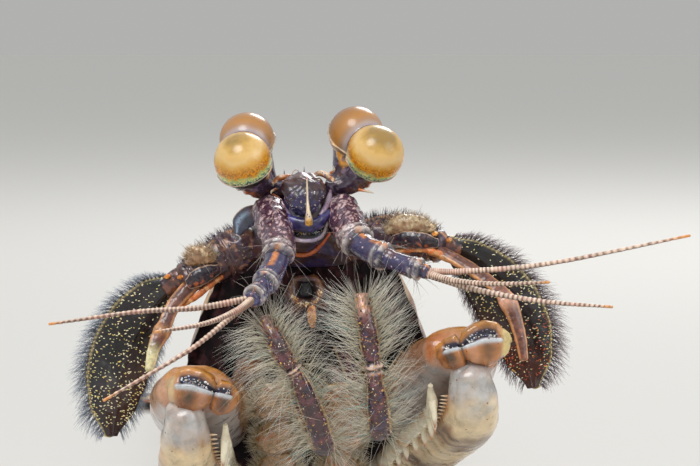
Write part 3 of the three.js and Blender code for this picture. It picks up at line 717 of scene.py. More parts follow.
for tag, side in SIDES:
    def reach(s, x, d):
        return on_body(FAN_FROM + s, side * x, d)

    base_path = [reach(-2, 18.6, -6.2), reach(3, 19.4, -6.2), reach(6.4, 20.6, -6.6)]
    outer_path = [reach(4, 22.4, -6.2), reach(14, 26.6, -6.8), reach(26, 29.8, -7.4)]
    inner_path = [reach(4, 19.8, -6.8), reach(14, 20.6, -7.3), reach(27, 21, -7.7)]
    base, t, _ = sweep(base_path, [2.4, 3, 2.6], [1.6, 1.8, 1.4], around=40, rows=40)
    outer, outer_grid = paddle(outer_path, [2, 4.4, 5.2, 4.8, 2], [0.9, 0.7, 0.6, 0.5, 0.4], 90)
    inner, inner_grid = paddle(inner_path, [1.2, 2.6, 3.2, 2.8, 1.2], [0.8, 0.6, 0.5, 0.5, 0.4], 94)
    skins = [(pushed(base, 0.1 * lumps(base, 2, 97)), mixed(WARM_BROWN, DARK_BAND, t)), outer, inner]
    comb_path = [reach(5, 25.4, -6.2), reach(10, 28.9, -6.5), reach(17, 32.6, -6.9)]
    for i in range(COMB_SPINES):
        t = 0.16 + 0.07 * i
        root = smooth_line(comb_path, np.array(t * 1.3))
        skins.append(spine(root, root + np.array([side * 1.4, 2.2, 0.1]), 0.35, base=CREAM_BAND))
    for x, long in SPURS:
        skins.append(spine(reach(4, x + 1.4, -7.2), reach(4 + long, x, -7.8), 0.75, base=WARM_BROWN))
    skins = [(np.maximum(rings, JUST_OVER_FLOOR), colour) for rings, colour in skins]
    model(f"tail_fan_{tag}", skins, limb_cuticle, [f"uropod_{tag}"])
    fringe = [rim_hairs(outer_grid, 90), rim_hairs(inner_grid, 94)]
    bristles(f"tail_fan_fringe_{tag}", fringe, bristle_chitin, joints=5)

# Swimming legs: under each tail ring a pair of leaf-shaped paddles of the same thin cuticle, laid back
# flat. They hardly show, so each gives up every second ring.
for i in range(len(TAIL_HALF)):
    for tag, side in SIDES:
        s = TAIL_FROM + i * (SOMITE + SHELL_GAP) + 4
        bends = ((0, 9, -6), (6, 9.6, -6.6), (13, 10.2, -7.4))
        path = [on_body(s + back, side * x, d) for back, x, d in bends]
        (leaf, colour), _ = paddle(path, [3, 5.4, 6, 4.4], [0.8, 0.9, 0.8, 0.5], 100 + i)
        leaf = [(np.maximum(leaf, JUST_OVER_FLOOR)[::2], colour[::2])]
        model(f"swimming_leg_{1 + i}_{tag}", leaf, limb_cuticle, [f"pleopod_{1 + i}_{tag}"])

# Face: a dark glossy dome between the eye bases, parted by a pale keel, with orange cheek ridges, an indigo
# upper lip, and under it a black cleft inside a lavender rim, strewn with pale beads that are painted glints.
# All of it is hard shell.
FACE_DARK = 0x2A1722
FACE_BROWN = 0x4A2A26
INDIGO = 0x2B2755
LAVENDER = 0xA898BC
PALE = 0xE8D3B4
KEEL_GOLD = 0xD9A247
HOT_ORANGE = 0xC4641E
BLACK = 0x0B080A
LIP_BLUE = 0x4A4690
CLEFT_PAINTED_GLINTS = 60
DOME_PAINTED_GLINTS = 46

# Polished cuticle of the head: hard shell worn smooth, with violet pigment grains 0.3 mm across, so the eye
# gets small sharp highlights on a nearly black ground.
head_cuticle = cuticle(
    "polished_cuticle_head", cloud=0.9, mottle=0.35, pit=0.16, depth=0.012, rough=(0.24, 0.42), coat=0.45,
    fleck=0x6A5288, fleck_size=0.34, fleck_share=0.24,
)


def oval_shell(start, end, half, top, edge, under, rows, around):
    """A closed skin round the body's line with a rounded underside"""
    s = np.linspace(start, end, rows)[:, None]
    angle = np.linspace(0, 2 * math.pi, around, endpoint=False)[None, :]
    t = (s - start) / (end - start)
    x = np.sign(np.cos(angle)) * np.abs(np.cos(angle)) ** 0.8
    side, rise = between(edge, t), np.abs(np.sin(angle)) ** 0.8
    d = side + (np.where(angle < math.pi, between(top, t), between(under, t)) - side) * rise
    return on_body(s + 0 * angle, between(half, t) * x, d)


face = oval_shell(
    -7.4, 2.7, [1.6, 3.4, 4.6, 6, 7.6, 8.8], [-0.6, 0.9, 1.6, 2.2, 2.8, 3.2],
    [-2, -2.4, -2.6, -2.6, -2.4, -2], [-3.6, -6.6, -7.4, -7.2, -6.8, -6.4], rows=110, around=220,
)
cleft_x, cleft_z = face[..., 0], face[..., 2]
cleft = (1 - step(np.abs(cleft_x), 2.2, 2.9)) * hump(cleft_z - 0.06 * cleft_x**2, 55.7, 0.55)
cleft = cleft * (face[..., 1] < -6)
brow = hump(face[..., 2], 62.0, 0.5) * (1 - step(np.abs(cleft_x), 2.5, 4))
face = pushed(face, 0.12 * lumps(face, 1.6, 110) + 0.05 * lumps(face, 0.6, 111) - 0.45 * cleft + 0.2 * brow)
face_paint = painted(
    FACE_DARK,
    (FACE_BROWN, step(lumps(face, 1.4, 112), -0.2, 0.7)),
    (INDIGO, 0.75 * step(lumps(face, 2.2, 113), 0.0, 0.6)),
    (BLACK, cleft * 1.6),
)
face_tree = BVHTree.FromPolygons(face.reshape(-1, 3).tolist(), walls(*face.shape[:2]).tolist())


def landed(places, lift):
    """Points of the face's front at sideways places and heights, lifted off it towards the viewer"""
    points = []
    for x, z in places:
        hit = face_tree.ray_cast(Vector((x, -40, z)), Vector((0, 1, 0)))[0]
        y = hit.y if hit else -6.5
        points.append((x, y - lift, z))
    return np.array(points)


def cord_of_shell(places, radius, colours, lift, seed=0):
    """A rounded ridge on the face, painted along its length"""
    rings, t, _ = sweep(landed(places, lift), radius, radius, (0, -1, 0.2), around=16, rows=70)
    rings = pushed(rings, 0.04 * lumps(rings, 0.5, seed))
    return rings, mixed(colours[0], colours[1], between(colours[2], t))


def studs(spots, ways, outs, sizes, colours):
    """Small oval studs, each with its long way, the way it stands out, its half sizes along, across and out,
    and its paint"""
    lean = np.linspace(0.3, math.pi - 0.3, 4)[None, :, None, None]
    turn = np.linspace(0, 2 * math.pi, 6, endpoint=False)[None, None, :, None]
    ways = ways / np.linalg.norm(ways, axis=1, keepdims=True)
    across = np.cross(outs, ways)
    ways, across, outs, spots = (a[:, None, None] for a in (ways, across, outs, spots))
    sizes = np.broadcast_to(sizes, (len(spots), 3))[:, None, None]
    ring = across * sizes[..., 1:2] * np.cos(turn) + outs * sizes[..., 2:3] * np.sin(turn)
    grid = spots + ways * sizes[..., 0:1] * np.cos(lean) + ring * np.sin(lean)
    return [(rings, np.array(linear(int(colour)))) for rings, colour in zip(grid, colours)]


parts = [(face, face_paint)]
dome_path = [(-0.55, -7.3, 63.2), (-0.45, -9.3, 61.8), (-0.25, -10.4, 60.2), (0.0, -10.6, 58.7)]
dome_wide, dome_thick = [1.5, 2.5, 2.75, 2.5, 1.9, 1.0], [0.5, 0.9, 1.2, 1.3, 1.0, 0.6]
dome, t, angle = sweep(dome_path, dome_wide, dome_thick, around=80, rows=90)
facets = 0.22 * np.abs(np.sin(angle * 2.5 + t * 3)) + 0.16 * lumps(dome, 1.0, 115)
dome = pushed(dome, facets + 0.05 * lumps(dome, 0.35, 116))
dome_paint = painted(
    FACE_DARK,
    (FACE_BROWN, 1 - step(t + 0.2 * lumps(dome, 0.8, 117), 0.2, 0.5)),
    (INDIGO, 0.9 * step(t + 0.25 * lumps(dome, 0.7, 118), 0.55, 0.8)),
)
parts.append((dome, dome_paint))
keel_path = [(0, -8.6, 62.9), (0.1, -11, 61.2), (0.2, -12.3, 59.4), (0.3, -13, 58.2), (0.35, -13, 57.2)]
keel_wide, keel_thick = [0.12, 0.16, 0.2, 0.28, 0.5, 0.5], [0.5, 1.4, 1.9, 1.7, 1.0, 0.6]
keel, t, _ = sweep(keel_path, keel_wide, keel_thick, around=24, rows=90)
keel_paint = painted(
    HOT_ORANGE,
    (PALE, step(t, 0.02, 0.22)),
    (KEEL_GOLD, step(t + 0.1 * lumps(keel, 0.4, 119), 0.74, 0.92)),
)
parts.append((pushed(keel, 0.03 * lumps(keel, 0.35, 120)), keel_paint))
lip_path = landed([(-3.4, 58.6), (-2.7, 57.6), (-1.0, 56.95), (0.4, 56.85), (1.7, 57.2), (2.9, 58.5)], 0.35)
lip_wide, lip_thick = [0.5, 0.95, 1.0, 1.0, 0.95, 0.5], [0.5, 0.7, 0.75, 0.7, 0.5]
lip, _, _ = sweep(lip_path, lip_wide, lip_thick, (0, -0.5, 1), 32, 90)
lip_paint = mixed(INDIGO, LIP_BLUE, step(lumps(lip, 0.8, 122), 0, 0.8))
parts.append((pushed(lip, 0.05 * lumps(lip, 0.7, 121)), lip_paint))
CHEEKS = (
    ([(-4.6, 60.7), (-3.8, 59.9), (-3.1, 59.0), (-2.1, 58.0)], (HOT_ORANGE, 0x8A7CA6, [0, 0.1, 0.7, 1])),
    ([(3.2, 61.2), (2.9, 60.0), (2.4, 59.0), (1.8, 58.3)], (0x6A4668, 0xB8A6B4, [0.1, 0.9, 0.3, 0.8])),
)
for k, (cheek, cheek_paint) in enumerate(CHEEKS):
    parts.append(cord_of_shell(cheek, [0.2, 0.42, 0.4, 0.2], cheek_paint, 0.5, seed=123 + k))
U_RIM = [(-3.5, 58.0), (-3.1, 56.4), (-2.1, 55.3), (-0.8, 54.8), (1.0, 54.85), (2.1, 55.5), (2.8, 57.2)]
rim_colours = (LAVENDER, PALE, [0.2, 0.5, 0.1, 0.6])
parts.append(cord_of_shell(U_RIM, [0.16, 0.26, 0.28, 0.28, 0.26, 0.16], rim_colours, 0.2))
RED_ARC = [(-3.9, 55.3), (-2.9, 54.0), (-1.9, 53.0), (-0.7, 52.6), (0.7, 53.0), (2.0, 54.2), (3.1, 55.7)]
arc_colours = (0xB03A18, HOT_ORANGE, [0, 1, 0.3])
parts.append(cord_of_shell(RED_ARC, [0.18, 0.3, 0.34, 0.3, 0.18], arc_colours, 0.15))
BROWS = (
    [(-4.6, 62.3), (-3.6, 62.95), (-2.7, 63.05), (-1.9, 63.15)],
    [(0.8, 63.2), (1.7, 63.55), (2.7, 63.2), (3.6, 62.6)],
)
for k, brow in enumerate(BROWS):
    ridge = [(bx, -6.4 - 0.2 * abs(bx), bz) for bx, bz in brow]
    rings, t, _ = sweep(ridge, [0.25, 0.42, 0.4, 0.22], [0.25, 0.4, 0.4, 0.22], around=16, rows=50)
    brow_paint = mixed(0xA85E2E, PALE, 0.35 + lumps(rings, 0.6, 132))
    parts.append((pushed(rings, 0.08 * lumps(rings, 0.5, 130 + k)), brow_paint))
for root, tip in (((-3.0, -6, 62.8), (-3.1, -6.2, 64.0)), ((-0.4, -6, 63.0), (-0.4, -6.2, 64.4))):
    parts.append(spine(root, tip, 0.16, base=FACE_BROWN, point=LAVENDER))
loop = [(-2.2, -6.4, 62.8), (-1.9, -6.6, 63.7), (-1.4, -6.7, 64.05), (-1.1, -6.6, 63.6), (-1.0, -6.4, 62.9)]
rings, t, _ = sweep(loop, 0.07, 0.07, (0, 1, 0), around=8, rows=40)
parts.append((rings, mixed(PALE, LAVENDER, t)))
chance = np.random.default_rng(7)
# Pale beads in the cleft are painted glints: bright studs standing in for highlights.
PAINTED_GLINT_TINTS = (0xF2ECD8, 0x9FE0D8, 0xC9B8F0, 0xF0C060)
sx = chance.uniform(-2.4, 2.0, CLEFT_PAINTED_GLINTS)
spots = landed(np.stack([sx, 55.75 + 0.07 * sx**2 + chance.normal(0, 0.17, CLEFT_PAINTED_GLINTS)], -1), 0.05)
ways, outs = chance.normal(0, 1, (CLEFT_PAINTED_GLINTS, 3)), np.array([[0, -1.0, 0]] * CLEFT_PAINTED_GLINTS)
sizes = chance.uniform(0.05, 0.12, (CLEFT_PAINTED_GLINTS, 1))
parts += studs(spots, ways, outs, sizes, chance.choice(PAINTED_GLINT_TINTS, CLEFT_PAINTED_GLINTS))
flange_path = [(-5.0, -3.6, 58.2), (-6.9, -4.6, 58.0), (-8.7, -4.6, 57.0), (-9.4, -4.0, 55.2)]
flange_wide, flange_thick = [0.5, 1.1, 1.4, 1.3, 0.5], [0.3, 0.35, 0.3, 0.2]
flange, t, angle = sweep(flange_path, flange_wide, flange_thick, (-0.6, 0.1, 1), 48, 70)
across = np.cos(angle)
flange = pushed(flange, 0.18 * hump(across, 0.85, 0.12) + 0.03 * lumps(flange, 0.6, 141))
flange_paint = painted(
    0x6E3A22,
    (0x363C54, step(t + 0.15 * lumps(flange, 0.8, 142), 0.3, 0.55)),
    (0x9FB8D0, hump(across, 0.35, 0.25) * step(t, 0.35, 0.55)),
    (RIM_ORANGE, hump(across, 0.2, 0.4) * (1 - step(t, 0.3, 0.5))),
)
parts.append((flange, mixed(flange_paint, PALE, step(across, 0.82, 0.98))))
# Pale studs on the front of the dome are painted glints: small bright beads standing in for highlights.
spots = np.argwhere((outward(dome)[..., 1] < -0.25) & (hump(dome[..., 2], 60.2, 1.1) > 0.3))
spots = tuple(spots[chance.integers(0, len(spots), DOME_PAINTED_GLINTS)].T)
sizes = chance.uniform(0.04, 0.11, (DOME_PAINTED_GLINTS, 1)) * [[1.4, 1, 0.6]]
ways = chance.normal(0, 1, (DOME_PAINTED_GLINTS, 3))
tints = chance.choice((0xF4F0EA, 0xC9B8E0, 0xE0C8B8), DOME_PAINTED_GLINTS)
parts += studs(dome[spots], ways, outward(dome)[spots], sizes, tints)
model("face", parts, head_cuticle, ["head_front"])

# Beak plate: a thin tongue of shell that covers the eye bases from above, with a pale rolled edge.
beak_path = [on_body(2.2, 0, 4.4), on_body(-1.4, 0, 4.2), on_body(-4.6, 0, 3.4)]
beak, t, angle = sweep(beak_path, [4.4, 4, 2.4, 0.4], [0.5, 0.5, 0.45, 0.35], around=64, rows=60)
edge = step(np.abs(np.cos(angle)), 0.9, 0.99)
beak = pushed(beak, 0.1 * hump(np.cos(angle), 0, 0.08) + 0.12 * edge + 0.04 * lumps(beak, 0.8, 150))
beak_paint = painted(
    FACE_DARK,
    (FACE_BROWN, step(lumps(beak, 1.1, 151), -0.1, 0.6)),
    (RIM_ORANGE, edge),
)
model("beak_plate", [(beak, beak_paint)], head_cuticle, ["rostral_plate"])

# Eyes: each a clear cornea of two bulging lobes with thousands of lenses, set across the top of its stalk.
# The lower lobe is gold with a pale cream band that is a painted highlight, and turns granular orange, then
# blue-green, towards the rim.
LOBE_LOW = 3.85
LOBE_HIGH = 3.75
RIM_UNDER = 1.05  # how far below the lobes' middle the cornea meets its stalk
EYES = {
    # side: middle of the high lobe, middle of the low lobe, root of the stalk, way the cornea leans
    "L": ((6.6, -3.6, 68.7), (9.2, -7.4, 66.2), (2.4, -4.4, 61.9), (0.25, -0.67, 0.70)),
    "R": ((-8.15, -4.2, 67.9), (-8.55, -8.6, 65.35), (-3, -4.4, 61.4), (-0.2, -0.59, 0.78)),
}


def lobes_reach(origin, ways, high, low):
    """How far the surface of each lobe is from the origin, along each way"""
    found = []
    for centre, radius in ((high, LOBE_HIGH), (low, LOBE_LOW)):
        apart = np.asarray(centre) - origin
        along = ways @ apart
        inside = along**2 - apart @ apart + radius**2
        found.append(np.where(inside > 0, along + np.sqrt(np.maximum(inside, 0)), 0.0))
    return found


# Living cornea: transparent chitin over pigment, with a painted highlight on the lower lobe, so the colour
# lies under a wet, even gloss. The granules are the lens facets, 0.07 mm across in life and drawn at three
# times that.
cornea = substance("cornea_over_pigment_and_painted_highlight")
place = add(cornea, "TexCoord").outputs["Object"]
rise = add(cornea, "Attribute", attribute_name="Rise").outputs["Fac"]
seam = add(cornea, "Attribute", attribute_name="Seam").outputs["Fac"]
haze = add(cornea, "TexNoise", {"Vector": place, "Scale": 700.0, "Detail": 4.0}).outputs["Fac"]
facets = add(cornea, "TexVoronoi", {"Vector": place, "Scale": 1 / (0.2 * MM)})
grain = add(cornea, "MapRange", {"Value": facets.outputs["Color"], "To Min": -0.5, "To Max": 0.5}).outputs[0]
calm = {"Value": rise, "From Min": 0.6, "From Max": 2.2, "To Min": 1.0, "To Max": 0.12}
calm = add(cornea, "MapRange", calm).outputs[0]
grain = add(cornea, "Math", {0: grain, 1: calm}, operation="MULTIPLY").outputs[0]
fine = {"Value": haze, "From Min": 0.3, "From Max": 0.7, "To Min": -0.25, "To Max": 0.25}
fine = add(cornea, "MapRange", fine).outputs[0]
shifted = add(cornea, "Math", {0: rise, 1: grain}, operation="ADD").outputs[0]
shifted = add(cornea, "Math", {0: shifted, 1: fine}, operation="ADD").outputs[0]
level = add(cornea, "MapRange", {"Value": shifted, "From Min": -1.3, "From Max": 4.3}).outputs[0]
# Lower lobe from rim to top: a black rim line, blue-green, mint, granular gold and orange, a pale cream band
# near 0.7 to 0.82 that is a painted highlight, and olive brown at the top.
low_lobe_stops_with_painted_highlight = [
    (0.0, 0x0A0C10), (0.05, 0x0E2A32), (0.09, 0x5A9AA0), (0.17, 0xB0D6C0), (0.26, 0xD2D6A6), (0.32, 0xC29E38),
    (0.38, 0xBE7F0E), (0.48, 0xC78A16), (0.58, 0xD29E40), (0.7, 0xDDB878), (0.82, 0xDAB26A), (0.92, 0xBE9648),
    (1.0, 0x9A7A3C),
]
low_colour = add(cornea, "ValToRGB", {"Fac": level}, stops=low_lobe_stops_with_painted_highlight).outputs["Color"]
high_stops = [
    (0.0, 0x6A5650), (0.03, 0xA2929A), (0.12, 0xAE9A92), (0.24, 0xA8805C), (0.4, 0xB07A3A), (0.7, 0x9C6A30),
    (1.0, 0x6E4A26),
]
far = add(cornea, "Math", {0: seam, 1: -0.22}, operation="MULTIPLY").outputs[0]
high_colour = add(cornea, "ValToRGB", {"Fac": far}, stops=high_stops).outputs["Color"]
lower = add(cornea, "MapRange", {"Value": seam, "From Min": -0.05, "From Max": 0.05}).outputs[0]
pigment_and_painted_highlight = add(cornea, "Mix", {0: lower, 6: high_colour, 7: low_colour}, data_type="RGBA").outputs[2]
sparkle = add(cornea, "MapRange", {"Value": facets.outputs["Color"], "From Min": 0.35, "From Max": 0.65})
sparkle_share = {"Value": rise, "From Min": 2.0, "From Max": 0.6, "To Min": 0.0, "To Max": 0.55}
sparkle_where = add(cornea, "MapRange", sparkle_share).outputs[0]
strewn_stops = [(0, 0x6E4A10), (0.5, 0xC89A2A), (1, 0xFFE890)]
strewn = add(cornea, "ValToRGB", {"Fac": sparkle.outputs[0]}, stops=strewn_stops)
only_low = add(cornea, "Math", {0: sparkle_where, 1: lower}, operation="MULTIPLY").outputs[0]
strew = {0: only_low, 6: pigment_and_painted_highlight, 7: strewn.outputs["Color"]}
pigment_and_painted_highlight = add(cornea, "Mix", strew, data_type="RGBA", blend_type="OVERLAY").outputs[2]
dark_seam = add(cornea, "Math", {0: seam}, operation="ABSOLUTE").outputs[0]
dark_seam = add(cornea, "MapRange", {"Value": dark_seam, "From Min": 0.03, "From Max": 0.1}).outputs[0]
pigment_and_painted_highlight = add(cornea, "Mix", {0: dark_seam, 6: linear(0x1A1210), 7: pigment_and_painted_highlight}, data_type="RGBA").outputs[2]
lens = add(cornea, "Bump", {"Height": facets.outputs["Distance"], "Strength": 0.5, "Distance": 0.00001})
wet_lens = {
    "Base Color": pigment_and_painted_highlight, "Roughness": 0.34, "IOR": 1.45, "Coat Weight": 0.6, "Coat Roughness": 0.16,
    "Subsurface Weight": 0.12, "Subsurface Scale": 0.001, "Normal": lens.outputs["Normal"],
}
surface = add(cornea, "BsdfPrincipled", wet_lens).outputs[0]
add(cornea, "OutputMaterial", {"Surface": surface})

# Eyestalks: stiff cups of dark violet shell that widen from the head to the cornea's rim, with a yellow
# stripe on the inner side, an orange bumpy lower edge and a few small hooks.
STALK_VIOLET = 0x3A2A40
STALK_BROWN = 0x5A3A34
STRIPE = 0xE09A2C
CUP_ROWS = 110
CUP_AROUND = 150
HOOKS = {
    "L": [((7.0, -7.6, 61.4), (8.9, -8.4, 61.0)), ((3.2, -6.8, 63.6), (3.6, -7.8, 64.5))],
    "R": [((-5.7, -6.6, 59.9), (-5.6, -7.2, 58.1)), ((-4.2, -6.8, 61.4), (-4.8, -7.9, 60.9))],
}

# Polished cuticle of the stalks: thick stiff shell with
# lilac grains, the glossiest of the body after the eyes.
stalk_cuticle = cuticle(
    "polished_cuticle_stalks", cloud=0.8, mottle=0.4, pit=0.14, depth=0.01, rough=(0.14, 0.34), coat=0.7,
    fleck=0x7A5A78, fleck_size=0.3, fleck_share=0.2,
)
for tag, side in SIDES:
    high, low, root, lean = (np.array(spot, float) for spot in EYES[tag])
    lean /= np.linalg.norm(lean)
    middle = (high + low) / 2
    long_way = (low - high) - lean * ((low - high) @ lean)
    long_way /= np.linalg.norm(long_way)
    cross_way = np.cross(lean, long_way)
    tilt = np.linspace(0.004, math.pi - 0.004, 190)[:, None, None]
    turn = np.linspace(0, 2 * math.pi, 260, endpoint=False)[None, :, None]
    ways = np.cos(tilt) * lean + np.sin(tilt) * (np.cos(turn) * long_way + np.sin(turn) * cross_way)
    reach_high, reach_low = lobes_reach(middle, ways, high, low)
    sharp = 5.0
    reach = np.log(np.exp(sharp * reach_high) + np.exp(sharp * reach_low)) / sharp
    ball = middle + ways * reach[..., None]
    rise_mark = (ball - middle) @ lean
    from_low = np.linalg.norm(ball - low, axis=-1) - LOBE_LOW
    apart = np.linalg.norm(ball - high, axis=-1) - LOBE_HIGH - from_low
    marks = {"Rise": rise_mark, "Seam": apart}
    model(f"cornea_{tag}", [(ball, np.array(linear(STRIPE)), marks)], cornea, [f"eye_{tag}"])

    rim = middle - lean * RIM_UNDER
    k = np.linspace(0, 1, CUP_ROWS)
    control = [root, root + [side * 2.6, -0.2, -0.9], rim - lean * 2.7, rim + lean * 0.12]
    weights = [(1 - k) ** 3, 3 * k * (1 - k) ** 2, 3 * k**2 * (1 - k), k**3]
    spots = sum(w[:, None] * p for w, p in zip(weights, control))
    ahead = np.gradient(spots, axis=0)
    ahead /= np.linalg.norm(ahead, axis=1, keepdims=True)
    across = long_way - ahead * (ahead @ long_way)[:, None]
    across /= np.linalg.norm(across, axis=1, keepdims=True)
    over = np.cross(ahead, across)
    turn = np.linspace(0, 2 * math.pi, CUP_AROUND, endpoint=False)[None, :, None]
    rim_ways = (np.cos(turn) * long_way + np.sin(turn) * cross_way)[0]
    rim_reach = np.maximum(*lobes_reach(rim, rim_ways, high, low))
    widen = np.interp(k, [0, 0.3, 0.6, 0.86, 0.95, 0.99, 1], [0, 0.2, 0.46, 0.72, 0.86, 0.98, 1])[:, None]
    radius = 1.15 + (rim_reach[None] + 0.2 - 1.15) * widen
    ways = np.cos(turn) * across[:, None] + np.sin(turn) * over[:, None]
    cup = spots[:, None] + ways * radius[..., None]
    t = k[:, None] + 0 * radius
    collar = hump(t, 0.985, 0.012) + 0.5 * hump(t, 0.9, 0.02)
    down = ways @ np.array([side * 0.45, -0.2, -0.87])
    inner = ways @ np.array([-side * 0.8, -0.6, 0.05])
    bumps = step(down, 0.55, 0.95) * hump(t, 0.66, 0.2) * (0.5 + 0.5 * np.cos(t * 60))
    welt = hump(inner, 0.9, 0.05) * step(t, 0.25, 0.5)
    uneven = 0.10 * lumps(cup, 1.1, 160) + 0.03 * lumps(cup, 0.4, 161)
    cup = pushed(cup, 0.14 * collar + 0.35 * bumps + 0.16 * welt + uneven)
    colour = painted(
        STALK_VIOLET,
        (STALK_BROWN, step(lumps(cup, 1.0, 162) + 0.4 * down, 0.0, 0.6)),
        (LAVENDER, 0.35 * step(lumps(cup, 0.7, 163), 0.25, 0.7)),
    )
    low_edge = step(down + 0.25 * lumps(cup, 0.6, 164), 0.72, 0.95) * step(t, 0.35, 0.55)
    colour = painted(
        colour,
        (HOT_ORANGE, low_edge * 0.9),
        (STRIPE, hump(inner + 0.05 * lumps(cup, 0.5, 165), 0.9, 0.05) * step(t, 0.2, 0.4)),
        (PALE, 0.9 * hump(t, 0.99, 0.016)),
        (BLACK, 0.9 * hump(t, 0.955, 0.012)),
    )
    skins = [(cup, colour)]
    for foot, tip in HOOKS[tag]:
        bend = (np.array(foot) + tip) / 2 + [0.25 * side, -0.15, 0]
        hook = [0.22, 0.16, 0.06]
        rings, t, _ = sweep([foot, bend, tip], hook, hook, (0, 1, 0), 10, 20)
        skins.append((rings, mixed(HOT_ORANGE, PALE, step(t, 0.1, 0.5))))
    model(f"stalk_{tag}", skins, stalk_cuticle, [f"eyestalk_{tag}"])

# Feeler stems: two three-jointed violet tubes of hard shell, each joint a pale rolled cuff over a dark
# groove, with orange edge lines and a few stiff bristles at the joints.
STEM_VIOLET = 0x322C54
STEM_BROWN = 0x512E38
STEM_BLUE = 0x5C62A0
CUFF = 0xD9CFC6
SPRAY = (0x8A7A74, 0xCFC6BC)
WHIP_RING = 0.6
STEMS = {
    "L": ([(4.6, -7, 59), (6.7, -14, 55.1), (10.8, -18, 53.1), (15.7, -21, 51.7)], [0.34, 0.62, 0.93]),
    "R": ([(-5.2, -7, 58.8), (-3.6, -14.5, 54.2), (-5, -19, 50.4), (-6.9, -23.5, 48.4)], [0.4, 0.7, 0.93]),
}
WHIPS = {
    "L": [
        [(15.6, -21, 51.8), (21.2, -22, 51.9), (32, -22, 53), (49.4, -22, 56.5)],
        [(15.6, -21, 51.6), (19, -24, 50.9), (24, -29, 51), (30, -38, 52.2)],
        [(15.6, -21, 51.4), (22, -25, 49.8), (30, -29, 48.8), (38.2, -34, 48.7)],
    ],
    "R": [
        [(-6.7, -23.4, 48.6), (-13.6, -24, 47.4), (-22, -22, 46.6), (-33.2, -20, 44.8)],
        [(-6.7, -23.4, 48.5), (-8.6, -29, 47.6), (-12, -37, 47), (-17.4, -45, 47)],
        [(-6.7, -23.4, 48.3), (-9, -27, 46.8), (-14.5, -31, 42.8), (-24.8, -34, 37)],
    ],
}

# Polished cuticle of the feelers: thin hard shell with
# pink grains 0.4 mm across, wet and bright on every cuff.
feeler_cuticle = cuticle(
    "polished_cuticle_feelers", cloud=0.8, mottle=0.35, pit=0.12, depth=0.012, rough=(0.14, 0.34), coat=0.8,
    fleck=0xC9A9B4, fleck_size=0.42, fleck_share=0.2,
)

# Ringed cuticle of the whips: short springy rings with hardly any pits, satin rather than glossy.
whip_cuticle = cuticle(
    "ringed_cuticle_whips", cloud=1.2, mottle=0.25, pit=0.08, depth=0.006, rough=(0.3, 0.46)
)


def cuffs(t, joints, wide=0.018):
    """Heights and paint shares of rolled cuffs, and of the grooves after them"""
    rolls = sum(hump(t, j, wide) + 0.55 * hump(t, j - 2.6 * wide, 0.8 * wide) for j in joints)
    after = sum(
        hump(t, j + 1.9 * wide, 0.7 * wide) + 0.6 * hump(t, j - 1.5 * wide, 0.5 * wide) for j in joints
    )
    return rolls, after


def sprays(grid, joints, each, long, seed, radius=0.045):
    """Stiff bristles standing out round each joint"""
    chance = np.random.default_rng(seed)
    rings, t, _ = grid
    rows = np.concatenate([np.full(each, np.argmin(np.abs(t[:, 0] - j))) for j in joints])
    rows = np.clip(rows + chance.integers(-3, 4, len(rows)), 0, len(rings) - 1)
    pick = rows, chance.integers(0, rings.shape[1], len(rows))
    return grown(grid, pick, (1, 0.5, 0), (0, [0, 0, -0.15]), long, radius, SPRAY, seed)


